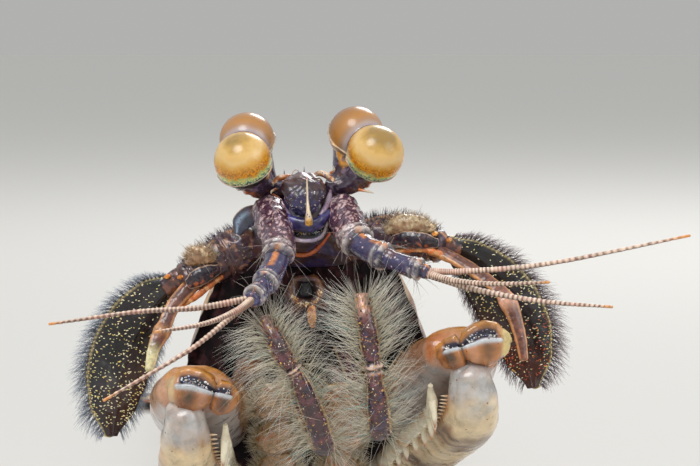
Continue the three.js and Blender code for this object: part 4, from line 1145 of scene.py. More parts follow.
for tag, side in SIDES:
    path, joints = STEMS[tag]
    wide, thick = [2.2, 2.35, 2.15, 1.75, 1.7, 1.45, 1.35, 1.1], [2, 2.25, 2, 1.7, 1.65, 1.4, 1.25, 1.05]
    stem, t, angle = sweep(path, wide, thick, around=96, rows=260)
    rolls, grooves = cuffs(t, joints)
    first = 1 - step(t, joints[0] - 0.03, joints[0] + 0.03)
    edges = hump(np.sin(angle), 1.0, 0.03) + hump(np.sin(angle), -1.0, 0.03)
    rough = first * (0.16 * lumps(stem, 0.9, 170) + 0.12 * np.abs(lumps(stem, 0.45, 171)))
    swell = 0.2 * sum(step(t, j - 0.14, j) * (1 - step(t, j, j + 0.02)) for j in joints)
    dent = -0.12 * sum(hump(t, j + 0.09, 0.06) for j in joints)
    folds = 0.17 * rolls - 0.2 * grooves + 0.1 * edges * (1 - first)
    stem = pushed(stem, folds + rough + swell + dent + 0.05 * lumps(stem, 0.7, 172))
    colour = painted(
        STEM_VIOLET,
        (STEM_BROWN, np.maximum(first * 0.8, step(lumps(stem, 1.3, 173), 0.1, 0.7))),
        (STEM_BLUE, 0.7 * hump(np.cos(angle + 0.9), 0.75, 0.3) * (1 - 0.7 * first)),
        (0xD9B4B4, 0.8 * first * step(np.abs(lumps(stem, 0.5, 174)), 0.38, 0.55)),
        (CUFF, 0.85 * rolls * step(lumps(stem, 0.6, 175), -0.7, 0.1)),
        (BLACK, 0.85 * grooves),
    )
    orange = edges * (1 - first) * step(lumps(stem, 1.2, 176), -0.4, 0.2)
    colour = mixed(colour, 0xD9853A, 0.8 * orange * (1 - grooves))
    model(f"feeler_stem_{tag}", [(stem, colour)], feeler_cuticle, [f"antennule_stem_{tag}"])
    grid = (stem, t, angle)
    hairs = [sprays(grid, joints, 16, 2.4, 177, radius=0.04), sprays(grid, joints[:2], 5, 4.2, 178)]
    bristles(f"feeler_bristles_{tag}", hairs, bristle_chitin, joints=6)

    # Feeler whips: three thin springy flagella per stem, of short rings, pinkish cream above and beaded
    # darker below, where the darker tone is painted shade, tapering to an orange tip.
    skins = []
    for k, whip_path in enumerate(WHIPS[tag]):
        span = np.linalg.norm(np.diff(np.array(whip_path, float), axis=0), axis=1).sum()
        beads = int(span / WHIP_RING)
        width = [0.46, 0.4, 0.34, 0.28, 0.18]
        whip, t, angle = sweep(whip_path, width, width, (0, 0, 1), 16, beads * 7, cap=3)
        ring = np.cos(t * beads * 2 * math.pi)
        whip = pushed(whip, 0.028 * ring * step(1 - t, 0, 0.05) + 0.02 * lumps(whip, 0.8, 180 + k))
        upper = step(np.cos(angle - 0.5), -0.35, 0.35)
        dark = 0x8A5A4C if side > 0 else 0xB48C7A
        colour = mixed(dark, 0xE0CAB4, step(ring + 0.6 * lumps(whip, 0.7, 188), -0.9, 0.3))
        # The underside takes a darker bead colour: painted shade.
        whip_underside_painted_shade = 0x3A2622 if side > 0 else 0x6A4C42
        colour = mixed(mixed(whip_underside_painted_shade, 0xB89A86, step(ring, -0.2, 0.8)), colour, upper)
        colour = painted(
            colour,
            (0xC98A78, 0.3 * step(lumps(whip, 3, 184 + k), 0, 0.6)),
            (0xD98A2E, 0.8 * step(t, 0.93, 1.0)),
        )
        skins.append((whip, colour))
    model(f"feeler_whips_{tag}", skins, whip_cuticle, [f"antennule_whips_{tag}"])

# Antennae: a thick two-jointed base with a hairy cream cushion on top, a dark glossy window in front and an
# orange line below, and a flat translucent rod with pale edges that hangs from it.
BASE_STUDS = 150
CUSHION_HAIRS = 420
BASE_HAIRS = 260
ANTENNA_BASES = {
    "L": [(7.6, -1.6, 54), (12.6, -2.4, 54.6), (18, -4, 53.4)],
    "R": [(-7.8, -1.6, 53.6), (-12, -2.6, 51.6), (-16.6, -4, 49)],
}
RODS = {
    "L": [(17, -5, 53.2), (21.6, -7.4, 51), (26.3, -9.4, 47.4), (28.2, -11, 43), (28.9, -12, 39.2)],
    "R": [(-15.6, -5, 48.4), (-18, -7, 45.8), (-19.2, -8.6, 43), (-20.4, -10, 40.4), (-21, -11, 37.6)],
}
CUSHIONS = {
    "L": [(10.8, -4.6, 55.6), (12.8, -5.2, 56.6), (15.0, -5.2, 56.5), (17.0, -5.0, 55.8)],
    "R": [(-16.2, -5.0, 51.5), (-14.6, -5.8, 52.4), (-12.6, -5.4, 51.8)],
}
WINDOWS = {
    "L": [(11.6, -5.5, 54.3), (14.4, -6.3, 54.5), (17.4, -6.4, 54.1)],
    "R": [(-16.0, -6.6, 48.6), (-14.2, -6.5, 49.7), (-12.0, -5.8, 50.5)],
}
LINES = {
    "L": [(10.6, -4.6, 52.6), (14.9, -6.0, 53.2), (17.6, -6.4, 52.7), (19.4, -5.8, 51.8)],
    "R": [(-11.6, -5.0, 49.4), (-13.6, -5.9, 47.9), (-15.2, -6.2, 46.7), (-16.9, -5.6, 45.5)],
}
BLADE_FEET = {
    "L": [(17.2, -3.4, 53.8), (18.6, -3.7, 53.4), (20.4, -3.9, 52.6)],
    "R": [(-15.8, -3.2, 49.6), (-17.4, -3.6, 48.9), (-19.4, -4.0, 47.6)],
}
KNOBS = {
    "L": [(17.3, -5.9, 55.3), (19.2, -5.4, 54.4)],
    "R": [(-19.0, -4.9, 49.4), (-17.2, -5.6, 49.4)],
}

# Mottled cuticle of the antennae: hard shell, tan and violet in patches, its gloss broken by creases.
antenna_cuticle = cuticle(
    "mottled_cuticle_antennae", cloud=1.0, mottle=0.45, pit=0.2, depth=0.02, rough=(0.22, 0.42), coat=0.5,
    fleck=0xB08A78, fleck_size=0.36, fleck_share=0.16,
)
for tag, side in SIDES:
    base_path = ANTENNA_BASES[tag]
    base, t, angle = sweep(base_path, [3, 3.2, 2.9, 2.3], [2.8, 3, 2.6, 2], (0, 0, 1), around=110, rows=130)
    rolls, grooves = cuffs(t, [0.42, 0.9], 0.022)
    creases = 0.14 * np.abs(lumps(base * [1, 1, 2], 2.2, 190))
    base = pushed(base, 0.06 * rolls - 0.2 * grooves + 0.16 * lumps(base, 1.5, 191) - creases)
    colour = painted(
        0x38222C,
        (0x5A3A36, step(lumps(base, 1.3, 192), -0.2, 0.5)),
        (0x6E5A78, 0.5 * step(lumps(base, 0.9, 193), 0.2, 0.7)),
        (0xA8785A, 0.7 * step(lumps(base, 0.7, 189), 0.25, 0.6)),
    )
    top_line = hump(np.cos(angle), 0.93, 0.05) * step(lumps(base, 2, 194), -0.5, 0.2)
    colour = painted(
        colour,
        (0xC08A52, 0.8 * top_line),
        (0x6A5058, 0.3 * rolls),
        (BLACK, 0.35 * grooves),
    )
    skins = [(base, colour)]
    chance = np.random.default_rng(210)
    pick = chance.integers(10, len(base) - 10, BASE_STUDS), chance.integers(0, 110, BASE_STUDS)
    sizes = chance.uniform(0.04, 0.11, (BASE_STUDS, 1)) * [[1.3, 1, 0.7]]
    ways = chance.normal(0, 1, (BASE_STUDS, 3))
    tints = chance.choice((0xF2ECDC, 0xE0B060, 0xC98A5A, 0xB8A8C4), BASE_STUDS)
    skins += studs(base[pick], ways, outward(base)[pick], sizes, tints)
    wide, thick = [0.7, 1.25, 1.35, 1.1, 0.6], [0.6, 1.0, 1.1, 0.9, 0.5]
    cushion, ct, ca = sweep(CUSHIONS[tag], wide, thick, (0, 0, 1), 48, 60)
    cushion = pushed(cushion, 0.12 * lumps(cushion, 0.7, 195) + 0.05 * lumps(cushion, 0.3, 196))
    cushion_paint = mixed(0xA07A58, 0xD9C29A, step(lumps(cushion, 0.6, 197) + 0.5 * np.cos(ca), -0.3, 0.6))
    skins.append((cushion, cushion_paint))
    wide, thick = [0.6, 1.0, 1.05, 0.9, 0.5], [0.35, 0.55, 0.6, 0.5, 0.3]
    pane, _, pa = sweep(WINDOWS[tag], wide, thick, (0, 0, 1), 48, 60)
    pane = pushed(pane, 0.08 * lumps(pane, 0.8, 198) + 0.16 * hump(np.abs(np.cos(pa)), 1, 0.08))
    pane_paint = mixed(0x1C1020, 0x3E1E24, step(lumps(pane, 0.7, 199), 0, 0.5))
    # The reddish patch low in the window is a painted glow.
    glow = hump(np.cos(pa), -0.6, 0.3) * step(lumps(pane, 0.45, 200), 0.1, 0.5)
    pane_paint = painted(
        pane_paint,
        (0xA8522A, glow),
        (0xC9A890, step(np.abs(np.cos(pa)), 0.93, 1.0)),
    )
    skins.append((pane, pane_paint))
    foot, _, _ = sweep(BLADE_FEET[tag], [1.5, 1.7, 1.4], [1.2, 1.3, 0.9], (0, 0, 1), around=40, rows=40)
    foot = pushed(foot, 0.12 * lumps(foot, 0.9, 206))
    skins.append((foot, mixed(0x38222C, 0x7A4A36, step(lumps(foot, 0.8, 208), -0.3, 0.5))))
    seam_line, _, _ = sweep(LINES[tag], [0.3, 0.42, 0.42, 0.3], [0.3, 0.36, 0.36, 0.3], (0, 0, 1), 16, 80)
    line_paint = mixed(0xC4682A, 0xE0A26A, step(lumps(seam_line, 0.8, 201), -0.3, 0.5))
    skins.append((pushed(seam_line, 0.08 * lumps(seam_line, 0.5, 202)), line_paint))
    wide, thick = [1.0, 0.85, 0.8, 0.95, 0.7, 0.5], [0.8, 0.55, 0.5, 0.6, 0.4, 0.4]
    rod, t, angle = sweep(RODS[tag], wide, thick, (1, 0.2, 0), around=32, rows=160)
    knee = hump(t, 0.55, 0.05)
    sides = step(np.abs(np.cos(angle)), 0.72, 0.95)
    rod = pushed(rod, 0.14 * sides + 0.22 * knee + 0.05 * lumps(rod, 0.6, 203))
    colour = painted(
        0x5A3024,
        (0x7E4A34, step(lumps(rod, 0.9, 204), -0.3, 0.5)),
        (0xD99A62, sides * 0.9),
        (0xE0A98C if side > 0 else 0xC08A5A, 0.8 * knee),
    )
    if side < 0:
        colour = mixed(colour, 0xD9CFA0, step(t, 0.66, 0.84))
    skins.append((rod, colour))
    for knob in KNOBS[tag]:
        knob = np.array(knob)
        knob_path = [knob - [0.35, 0, 0.1], knob, knob + [0.35, 0, 0.1]]
        bump, _, _ = sweep(knob_path, [0.2, 0.36, 0.2], [0.25, 0.4, 0.25], (0, 0, 1), 24, 24)
        bump = pushed(bump, 0.05 * lumps(bump, 0.3, 205))
        skins.append((bump, mixed(0xC9741A, 0xF0C070, step(lumps(bump, 0.3, 206), 0, 0.5))))
    model(f"antenna_base_{tag}", skins, antenna_cuticle, [f"antenna_{tag}"])
    chance = np.random.default_rng(206)
    above = np.array([k for k in range(48) if math.cos(2 * math.pi * k / 48) > 0.1])
    grid = (cushion, ct, ca)
    pick = chance.integers(4, len(cushion) - 4, CUSHION_HAIRS), chance.choice(above, CUSHION_HAIRS)
    fan = grown(
        grid, pick, (1, 0, [0, -0.2, 0.25]), (0, [0, 0, -0.1]), 0.9, 0.035, (0xC9A884, 0xE6D6B8), 207,
        tile=(0, 0.5, 0.5, 0.5),
    )
    whole = base[..., 0] * 0 + np.linspace(0, 1, len(base))[:, None]
    pick = chance.integers(10, len(base) - 10, BASE_HAIRS), chance.choice(np.r_[0:12, 98:110], BASE_HAIRS)
    fuzz = grown(
        (base, whole, 0 * whole), pick, (1, 0.2, 0), (0, [0, 0, 0.05]), 1.1, 0.04, (0x4A3C4A, 0x8E8290), 208,
        tile=(0.5, 0.5, 0.5, 0.5),
    )
    hairs = [fan, fuzz, sprays(grid, [0.25, 0.6], 6, 2.6, 209)]
    bristles(f"antenna_hair_{tag}", hairs, bristle_chitin, joints=5)

# Antennal blades: one stiff oval scale of shell beside each antenna, black,
# strewn with raised gold dashes, with a beaded cream margin and along it a
# dense fringe of fine hairs: blue-grey on the right, brown on the left.
BLADE_BLACK = 0x0C090B
BLADE_AROUND = 160
MARGIN_BEADS = 46
DASH_COUNT = 1300
FRINGE_HAIRS = 1100
INNER_HAIRS = 450
LEFT_TILE = (0, 0, 0.5, 1)  # halves of the baked colour map
RIGHT_TILE = (0.5, 0, 0.5, 1)
DASHES = (0xF2E6B8, 0xFFF4D0, 0xE8CC6A, 0xD8DCA0)
BLADES = {
    "L": [
        (19, -3.6, 53.6), (22.8, -4, 51), (26, -5, 47.4), (28.4, -6.4, 43.4), (29.8, -8, 39.2),
        (30.4, -9.6, 35),
    ],
    "R": [
        (-18.2, -3.6, 48.4), (-21.4, -4, 45.7), (-23.9, -5, 41.6), (-25.5, -6.4, 37.3), (-26.2, -8, 32.8),
        (-26.3, -9.6, 28.4),
    ],
}

# Black cuticle of the blades: thin dense shell, dark enough that only its gloss and the gold dashes show.
blade_cuticle = cuticle(
    "black_cuticle_blades", cloud=1.4, mottle=0.3, pit=0.18, depth=0.015, rough=(0.2, 0.4), coat=0.6,
    fleck=0x2C3230, fleck_size=0.3, fleck_share=0.12,
)
for tag, side in SIDES:
    wide, thick = [1.3, 2.9, 4.1, 4.5, 4.3, 3.3, 0.9], [0.7, 0.55, 0.45, 0.4, 0.35, 0.3, 0.25]
    facing = (0.8, -0.2 * side, 0.6 * side)
    blade, t, angle = sweep(BLADES[tag], wide, thick, facing, BLADE_AROUND, rows=200)
    outer = np.cos(angle) * side
    margin = hump(outer, 1.0, 0.05)
    beading = 0.5 + 0.5 * np.cos(t * 2 * math.pi * MARGIN_BEADS)
    rib = hump(outer, -0.15, 0.05) + 0.6 * hump(outer, 0.35, 0.04)
    blade = pushed(blade, 0.14 * margin * (0.4 + beading) + 0.12 * rib + 0.07 * lumps(blade, 1.6, 210))
    colour = painted(
        BLADE_BLACK,
        (0x1E161C, step(lumps(blade, 2.4, 211), 0, 0.7)),
        (0x4A2620, (0.75 if side > 0 else 0.35) * step(t - 0.3 * outer, 0.5, 0.9)),
        (0xD9C48A, margin * (0.35 + 0.65 * beading)),
    )
    skins = [(blade, colour)]
    chance = np.random.default_rng(212)
    rows = np.clip((chance.beta(1.9, 1.3, DASH_COUNT) * 190 + 6).astype(int), 6, 205)
    columns = chance.integers(0, BLADE_AROUND, DASH_COUNT)
    flat = np.abs(np.sin(angle[0, columns])) > 0.3
    rows, columns = rows[flat], columns[flat]
    outs = outward(blade)[rows, columns]
    ways = np.cross(outs, chance.normal(0, 0.55, (len(rows), 3)) + [0.2 * side, 0, -1.2])
    long = chance.uniform(0.07, 0.2, (len(rows), 1))
    across = np.minimum(long, chance.uniform(0.055, 0.09, (len(rows), 1)))
    sizes = np.hstack([long, across, 0 * long + 0.06])
    tints = chance.choice(DASHES, len(rows))
    if side > 0:
        tints = np.where((t[rows, 0] > 0.62) & (chance.random(len(rows)) < 0.6), 0xB8522A, tints)
    skins += studs(blade[rows, columns], ways, outs, sizes, tints)
    model(f"antennal_blade_{tag}", skins, blade_cuticle, [f"antennal_scale_{tag}"])
    edge = 0 if side > 0 else BLADE_AROUND // 2
    grid = (blade, t, angle)
    rows = chance.integers(8, 206, FRINGE_HAIRS)
    columns = (edge + chance.integers(-3, 4, FRINGE_HAIRS)) % BLADE_AROUND
    reach = 2.5 * np.interp(t[rows, 0], [0, 0.15, 0.5, 0.9, 1], [0.3, 0.75, 1, 0.95, 0.4])
    tones = (0x5A6070, 0xAEB8C6) if side < 0 else (0x4A3A44, 0x9A8488)
    fringe = grown(grid, (rows, columns), (1, 0.35, 0), (0.35, 0), reach, 0.038, tones, 213, LEFT_TILE)
    rows = chance.integers(30, 200, INNER_HAIRS)
    columns = (edge + BLADE_AROUND // 2 + chance.integers(-3, 4, INNER_HAIRS)) % BLADE_AROUND
    inner = grown(grid, (rows, columns), (1, 0.5, 0), (0.3, 0), 1.5, 0.045, tones, 214, RIGHT_TILE)
    bristles(f"blade_fringe_{tag}", [fringe, inner], bristle_chitin, joints=5)

# Mouth: an opening under the head, pushed in and painted black as shade, in a raised brown ring, with a
# crescent of gold-white grains below it and a small orange feeler hanging from its lower lip.
MOUTH_SPOT = (-0.2, 47.7)
MOUTH_GRAINS = 90
mouth_path = [on_body(3.8, 0, -7.8), on_body(6.6, 0, -9), on_body(10.6, 0, -9)]
mouth, _, _ = sweep(mouth_path, [1.8, 3.2, 3.2, 1.8], [0.8, 1.7, 1.8, 0.9], around=120, rows=110)
away = np.hypot(mouth[..., 0] - MOUTH_SPOT[0], mouth[..., 2] - MOUTH_SPOT[1])
ahead = outward(mouth)[..., 1] < 0.1
mouth_push = -1.3 * (1 - step(away, 0.9, 1.7)) * ahead + 0.35 * hump(away, 2.0, 0.35) * ahead
mouth = pushed(mouth, mouth_push + 0.14 * lumps(mouth, 0.8, 220) + 0.06 * lumps(mouth, 0.35, 221))
colour = painted(
    0x2C1A22,
    (0x5A3628, step(lumps(mouth, 0.9, 222), 0, 0.6)),
    (0x8A5A34, 0.7 * hump(away, 2.0, 0.4) * ahead),
    # Black in the pit of the mouth is painted shade.
    (BLACK, (1 - step(away, 1.1, 1.7)) * ahead),
)
skins = [(mouth, colour)]
chance = np.random.default_rng(223)
dip = chance.uniform(-0.5, 1.25, MOUTH_GRAINS) * math.pi / 2 - math.pi * 0.62
spots_x = MOUTH_SPOT[0] + np.cos(dip) * chance.normal(1.95, 0.2, MOUTH_GRAINS)
spots_z = MOUTH_SPOT[1] + np.sin(dip) * chance.normal(1.95, 0.2, MOUTH_GRAINS)
facing = np.argwhere(outward(mouth)[..., 1] < -0.1)
seen = mouth[facing[:, 0], facing[:, 1]]
near = np.argmin(np.hypot(seen[None, :, 0] - spots_x[:, None], seen[None, :, 2] - spots_z[:, None]), 1)
sizes = chance.uniform(0.07, 0.17, (MOUTH_GRAINS, 1)) * [[1, 0.8, 0.7]]
ways = chance.normal(0, 1, (MOUTH_GRAINS, 3))
tints = chance.choice((0xF2E0B0, 0xE0A850, 0xC9874A, 0xFFF4DC), MOUTH_GRAINS)
skins += studs(seen[near], ways, outward(mouth)[tuple(facing[near].T)], sizes, tints)
lip_root = np.array([0.5, mouth[..., 1].min() + 0.9, 45.9])
palp_path = [lip_root, lip_root + [0.1, -0.5, -1.6], lip_root + [0.2, -0.2, -3.2]]
palp, _, _ = sweep(palp_path, [0.4, 0.62, 0.6, 0.35], [0.35, 0.5, 0.5, 0.3], around=32, rows=50)
palp_paint = mixed(0xB4642A, 0xE09A48, step(lumps(palp, 0.6, 225), -0.4, 0.4))
skins.append((pushed(palp, 0.06 * lumps(palp, 0.5, 224)), palp_paint))
model("mouth", skins, head_cuticle, ["mouthparts"])

# Hairy jaw-legs: two slim cleaning limbs held up before the mouth, dark red shell with gold grains and cream
# edges, with dense fans of long cream-grey bristles down both sides.
FINGERS = {
    "L": [(8.6, -9, 31), (9.6, -18.5, 30.5), (9.2, -22, 36), (8.2, -23, 43.4), (7.2, -21.6, 48.6)],
    "R": [(0.2, -9, 30), (2.4, -18.5, 28.5), (-0.3, -22, 37), (-2.8, -23, 41.2), (-5.3, -21.6, 45.6)],
}
FINGER_AROUND = 72
FINGER_GRAINS = 640
FAN_HAIRS = 620
STRAY_HAIRS = 220
PAINTED_GLINT_HAIRS = 40  # blue-green hairs that catch the light
CROWN_HAIRS = 100


def on_edges(chance, count, spread):
    """Columns near the two edges of a jaw-leg"""
    edge = np.where(chance.random(count) < 0.5, 0, FINGER_AROUND // 2)
    return (edge + chance.integers(-spread, spread + 1, count)) % FINGER_AROUND


# Polished cuticle of the jaw-legs: hard shell in dark red
# and indigo, with sand-coloured grains 0.3 mm across.
finger_cuticle = cuticle(
    "polished_cuticle_jaw_legs", cloud=0.8, mottle=0.45, pit=0.16, depth=0.02, rough=(0.16, 0.38), coat=0.7,
    fleck=0xC98A5A, fleck_size=0.3, fleck_share=0.22,
)
for tag, side in SIDES:
    path = [on_body(16, 4.4 * side, -9.2), *FINGERS[tag]]
    wide = [0.9, 1, 1.05, 1.2, 1.45, 1.35, 0.95, 1.2, 1.15, 0.85]
    thick = [0.9, 0.95, 1, 1.1, 1.25, 1.2, 0.9, 1.05, 1.05, 0.8]
    finger, t, angle = sweep(path, wide, thick, around=FINGER_AROUND, rows=340)
    rolls, grooves = cuffs(t, [0.3, 0.7], 0.008)
    sides = step(np.abs(np.cos(angle)), 0.86, 0.98)
    finger = pushed(finger, 0.22 * rolls - 0.3 * grooves + 0.1 * lumps(finger, 0.9, 230) + 0.1 * sides)
    colour = painted(
        0x3A1C24,
        (0x5E2E34, step(lumps(finger, 1.2, 231), -0.3, 0.4)),
        (0x2A2348, 0.7 * step(lumps(finger, 1.5, 232), 0.25, 0.6)),
    )
    tip = 0xD9A48C if side > 0 else 0x8A5A52
    colour = painted(
        colour,
        (tip, step(t, 0.86, 0.97)),
        (0xD9B98A, 0.85 * sides),
        (0xE0C0B0, 0.9 * rolls),
        (BLACK, 0.8 * grooves),
    )
    chance = np.random.default_rng(233)
    pick = chance.integers(150, 346, FINGER_GRAINS), chance.integers(0, FINGER_AROUND, FINGER_GRAINS)
    sizes = np.minimum(0.05 / chance.uniform(0.2, 1.0, (FINGER_GRAINS, 1)), 0.2) * [[1.3, 1, 0.8]]
    tints = chance.choice((0xE0B050, 0xF2E6D0, 0xC9722A, 0xB48AA0, 0xD9A868), FINGER_GRAINS)
    dark_tints = chance.choice((0x1A1630, 0x4A1C22, 0x6A3A2A), FINGER_GRAINS)
    tints = np.where(sizes[:, 0] > 0.2, dark_tints, tints)
    ways = chance.normal(0, 1, (FINGER_GRAINS, 3))
    grains = studs(finger[pick], ways, outward(finger)[pick], sizes, tints)
    model(f"jaw_leg_1_{tag}", [(finger, colour), *grains], finger_cuticle, [f"maxilliped_1_{tag}"])
    grid = (finger, t, angle)
    sag = np.array([0, 0, 0.12 if side > 0 else -0.3])
    rows = (60 + 286 * chance.beta(1.5, 1.05, FAN_HAIRS)).astype(int)
    pick = rows, on_edges(chance, FAN_HAIRS, 8)
    reach = np.interp(t[rows, 0], [0.15, 0.5, 0.75, 0.95, 1], [3.5, 6.4, 7.4, 6.2, 3.8])
    cream = (0xE2D8BC, 0xECE8DE)
    fan = grown(grid, pick, (1, 0.45, [0, -0.25, 0]), (0, sag), reach, 0.038, cream, 234, LEFT_TILE)
    pick = chance.integers(100, 345, STRAY_HAIRS), on_edges(chance, STRAY_HAIRS, 14)
    unruly = chance.normal(0, 0.38, (STRAY_HAIRS, 3))
    pale = (0xC4BCA4, 0xF6F2EA)
    stray = grown(grid, pick, (1, 0.4, unruly), (0, [0, 0, -0.05]), 7.0, 0.032, pale, 237, LEFT_TILE)
    # The blue-green hairs are painted glints: their colour stands in for light caught along the bristles.
    pick = chance.integers(120, 340, PAINTED_GLINT_HAIRS), on_edges(chance, PAINTED_GLINT_HAIRS, 9)
    teal_glint_paint = (0x7AA8A4, 0xA8CCC6)
    painted_glint_hairs = grown(grid, pick, (1, 0.3, 0), (0, sag * 1.4), 6.0, 0.045, teal_glint_paint, 235, RIGHT_TILE)
    pick = chance.integers(300, 348, CROWN_HAIRS), chance.integers(0, FINGER_AROUND, CROWN_HAIRS)
    crown = grown(grid, pick, (1, 1.6, 0), (0, 0), 3.4, 0.05, (0x9A8C78, 0xC4BCB0), 236, RIGHT_TILE)
    bristles(f"jaw_leg_bristles_{tag}", [fan, stray, painted_glint_hairs, crown], bristle_chitin, joints=9)

# Spearing claws, folded: a round tan upper arm, a two-lobed wrist with a dark violet groove between an orange
# rim and a pale ridge, the long palm folded back under it, and the toothed finger shut against the palm.
CLAWS = {
    # side: heel, middle and elbow of the upper arm
    "L": ((13.6, 19, 25), (17.2, 0, 33.6), (20.4, -15.4, 40.4)),
    "R": ((-13.4, 19, 23.6), (-15.2, 0, 30), (-14.6, -15.4, 35.2)),
}
WRISTS = {
    "L": [(-2.4, -5.2, 0.2), (0, -5.8, 1.2), (2.4, -5.6, 1.9), (5.2, -5.4, 2.0)],
    "R": [(4.8, -5.2, -0.4), (2.6, -5.8, 0.5), (0.3, -5.6, 1.1), (-2.5, -5.4, 1.2)],
}
ARM_TAN = 0xC98A4A
ARM_ORANGE = 0xC9702A
ARM_PALE = 0xB2B4B6
GROOVE_VIOLET = 0x1C1830
TOOTH_CREAM = 0xE6DCC0
ARM_AROUND = 140
ARM_HAIRS = 520
PALM_AROUND = 110
PEGS = 26
WRIST_PAINTED_GLINTS = 60
TEETH = 9

# Enamelled cuticle of the claws: the hardest, smoothest shell, in broad soft clouds of tan, orange and grey.
claw_cuticle = cuticle(
    "enamelled_cuticle_claws", cloud=2.2, mottle=0.3, pit=0.3, depth=0.015, rough=(0.2, 0.42), coat=0.55,
    fleck=0x8A5226, fleck_size=0.4, fleck_share=0.14,
)

# Ivory cuticle of the toothed finger: mineral-hard and nearly without pits, so it shines like a tooth.
tooth_cuticle = cuticle(
    "ivory_cuticle_teeth", cloud=1.4, mottle=0.15, pit=0.2, depth=0.008, rough=(0.12, 0.26), coat=0.9
)
for tag, side in SIDES:
    hip = on_body(21, 8 * side, -7.6)
    heel, mid, elbow = (np.array(spot, float) for spot in CLAWS[tag])
    wide, thick = [3, 5.2, 6, 6.3, 6.2, 5.2], [2.6, 4, 4.5, 4.6, 4.4, 3.6]
    arm, t, angle = sweep([heel, mid, elbow], wide, thick, around=ARM_AROUND, rows=180, nose=0.6)
    out = outward(arm)
    crest = hump(np.cos(angle), side * 0.55, 0.1)
    uneven = 0.16 * lumps(arm, 3.2, 240) + 0.05 * lumps(arm, 0.9, 241)
    arm = pushed(arm, uneven + 0.25 * crest * step(t, 0.2, 0.4))
    colour = painted(
        0xB8886A,
        (0xC99A78, step(lumps(arm, 2.5, 242), -0.4, 0.4)),
        (0xD08A34, step(out[..., 2] + 0.2 * lumps(arm, 1.2, 249), 0.55, 0.95)),
        (ARM_ORANGE, 0.75 * step(lumps(arm, 3.5, 243), 0, 0.5) * step(-out[..., 1], 0, 0.6)),
        (ARM_PALE, 0.8 * step(-out[..., 2] + 0.25 * lumps(arm, 2.0, 244), 0.1, 0.7)),
        (0xA8562A, 0.7 * hump(t, 0.03, 0.04)),
    )
    thigh_path = [hip, (hip + heel) / 2 + [0, 0, -1.6], heel]
    thigh, tt, _ = sweep(thigh_path, [2.2, 2.3, 2.8], [2, 2.2, 2.4], around=64, rows=100)
    thigh_paint = mixed(0x8A5C3A, ARM_TAN, step(lumps(thigh, 2, 245) + tt, 0.3, 1.1))
    skins = [(arm, colour), (pushed(thigh, 0.1 * lumps(thigh, 1.5, 246)), thigh_paint)]
    model(f"claw_arm_{tag}", skins, claw_cuticle, [f"raptorial_merus_{tag}"])
    chance = np.random.default_rng(247)
    rows = chance.integers(60, 175, ARM_HAIRS)
    columns = (ARM_AROUND // 2 if side > 0 else 0) + chance.integers(-9, 10, ARM_HAIRS)
    pick = (rows, columns % ARM_AROUND)
    tones = (0xA8743E, 0xDDB888)
    down = grown((arm, t, angle), pick, (1, 0, [0, 0, 0.3]), (0, [0, 0, 0.05]), 0.9, 0.035, tones, 248)
    bristles(f"claw_arm_hair_{tag}", [down], bristle_chitin, joints=4)

    palm_path = [elbow + [side, -1.6, -8.4], mid + [0.6 * side, 0, -8.8], heel + [0.6 * side, -2.4, -7.4]]
    wide, thick = [2.6, 3.4, 4, 4.2, 3.8, 2.6], [2.4, 3, 3, 2.8, 2.2, 1.4]
    start = elbow + [side, -5.6, -1.6]
    palm, t, angle = sweep([start, *palm_path], wide, thick, around=PALM_AROUND, rows=200)
    slot_side = hump(np.cos(angle), -side * 0.8, 0.16)
    palm = pushed(palm, -0.35 * slot_side + 0.12 * lumps(palm, 2.4, 250) + 0.05 * lumps(palm, 0.8, 251))
    out = outward(palm)
    colour = mixed(0xB4814E, 0xDCC49C, step(0.6 * lumps(palm, 2.6, 252) - out[..., 2], -0.5, 0.7))
    wave = t + 0.05 * lumps(palm, 2.0, 253)
    bands = hump(wave, 0.4, 0.05) + hump(wave, 0.68, 0.06) + hump(wave, 0.93, 0.05)
    colour = mixed(colour, 0x5A3420, 0.85 * bands)
    pale = 0.85 * (1 - step(wave, 0.12, 0.24)) * (0.75 + 0.25 * step(lumps(palm, 1.4, 256), -0.3, 0.4))
    colour = mixed(colour, ARM_PALE, pale)
    skins = [(palm, colour)]
    for peg in np.linspace(0.16, 0.92, PEGS):
        row = np.argmin(np.abs(t[:, 0] - peg))
        root = palm[row, PALM_AROUND // 2 if side > 0 else 0]
        point = root + [-0.9 * side, -0.2, 0.1]
        skins.append(spine(root + [0.15 * side, 0, 0], point, 0.22, base=0xC08448, point=TOOTH_CREAM))

    # The wrist is widest at its outer lobe. Its groove runs along the upper front, so its skin dips there.
    wrist_path = [elbow + spot for spot in WRISTS[tag]]
    wide = [1.7, 2.2, 2.1, 1.9, 2.4, 2.8, 2.9, 2.6, 1.7]
    thick = [1.5, 2.2, 2.2, 2.0, 2.4, 2.6, 2.5, 2.2, 1.4]
    wrist, t, angle = sweep(wrist_path, wide, thick, (0, 0, 1), around=180, rows=220, nose=0.6)
    front = np.where(outward(wrist)[..., 1] < 0.25, 1.0, 0.0)
    high = np.cos(angle)
    pinch = hump(t, 0.34, 0.035)
    groove = hump(high, 0.62, 0.2) * front * step(t, 0.02, 0.1) * (1 - step(t, 0.86, 0.95))
    rim = hump(high, 0.95, 0.06) * front
    ridge = hump(high, 0.32, 0.09) * front * step(t, 0.02, 0.12) * (1 - step(t, 0.9, 0.99))
    folds = 0.35 * ridge + 0.25 * rim - 0.75 * groove - 0.5 * pinch
    wrist = pushed(wrist, folds + 0.12 * lumps(wrist, 1.6, 254))
    colour = painted(
        0xB4733A,
        (0x8A4E22, step(lumps(wrist, 1.9, 255), -0.1, 0.6)),
        (0xC99272, 0.6 * hump(t, 0.46, 0.08)),
    )
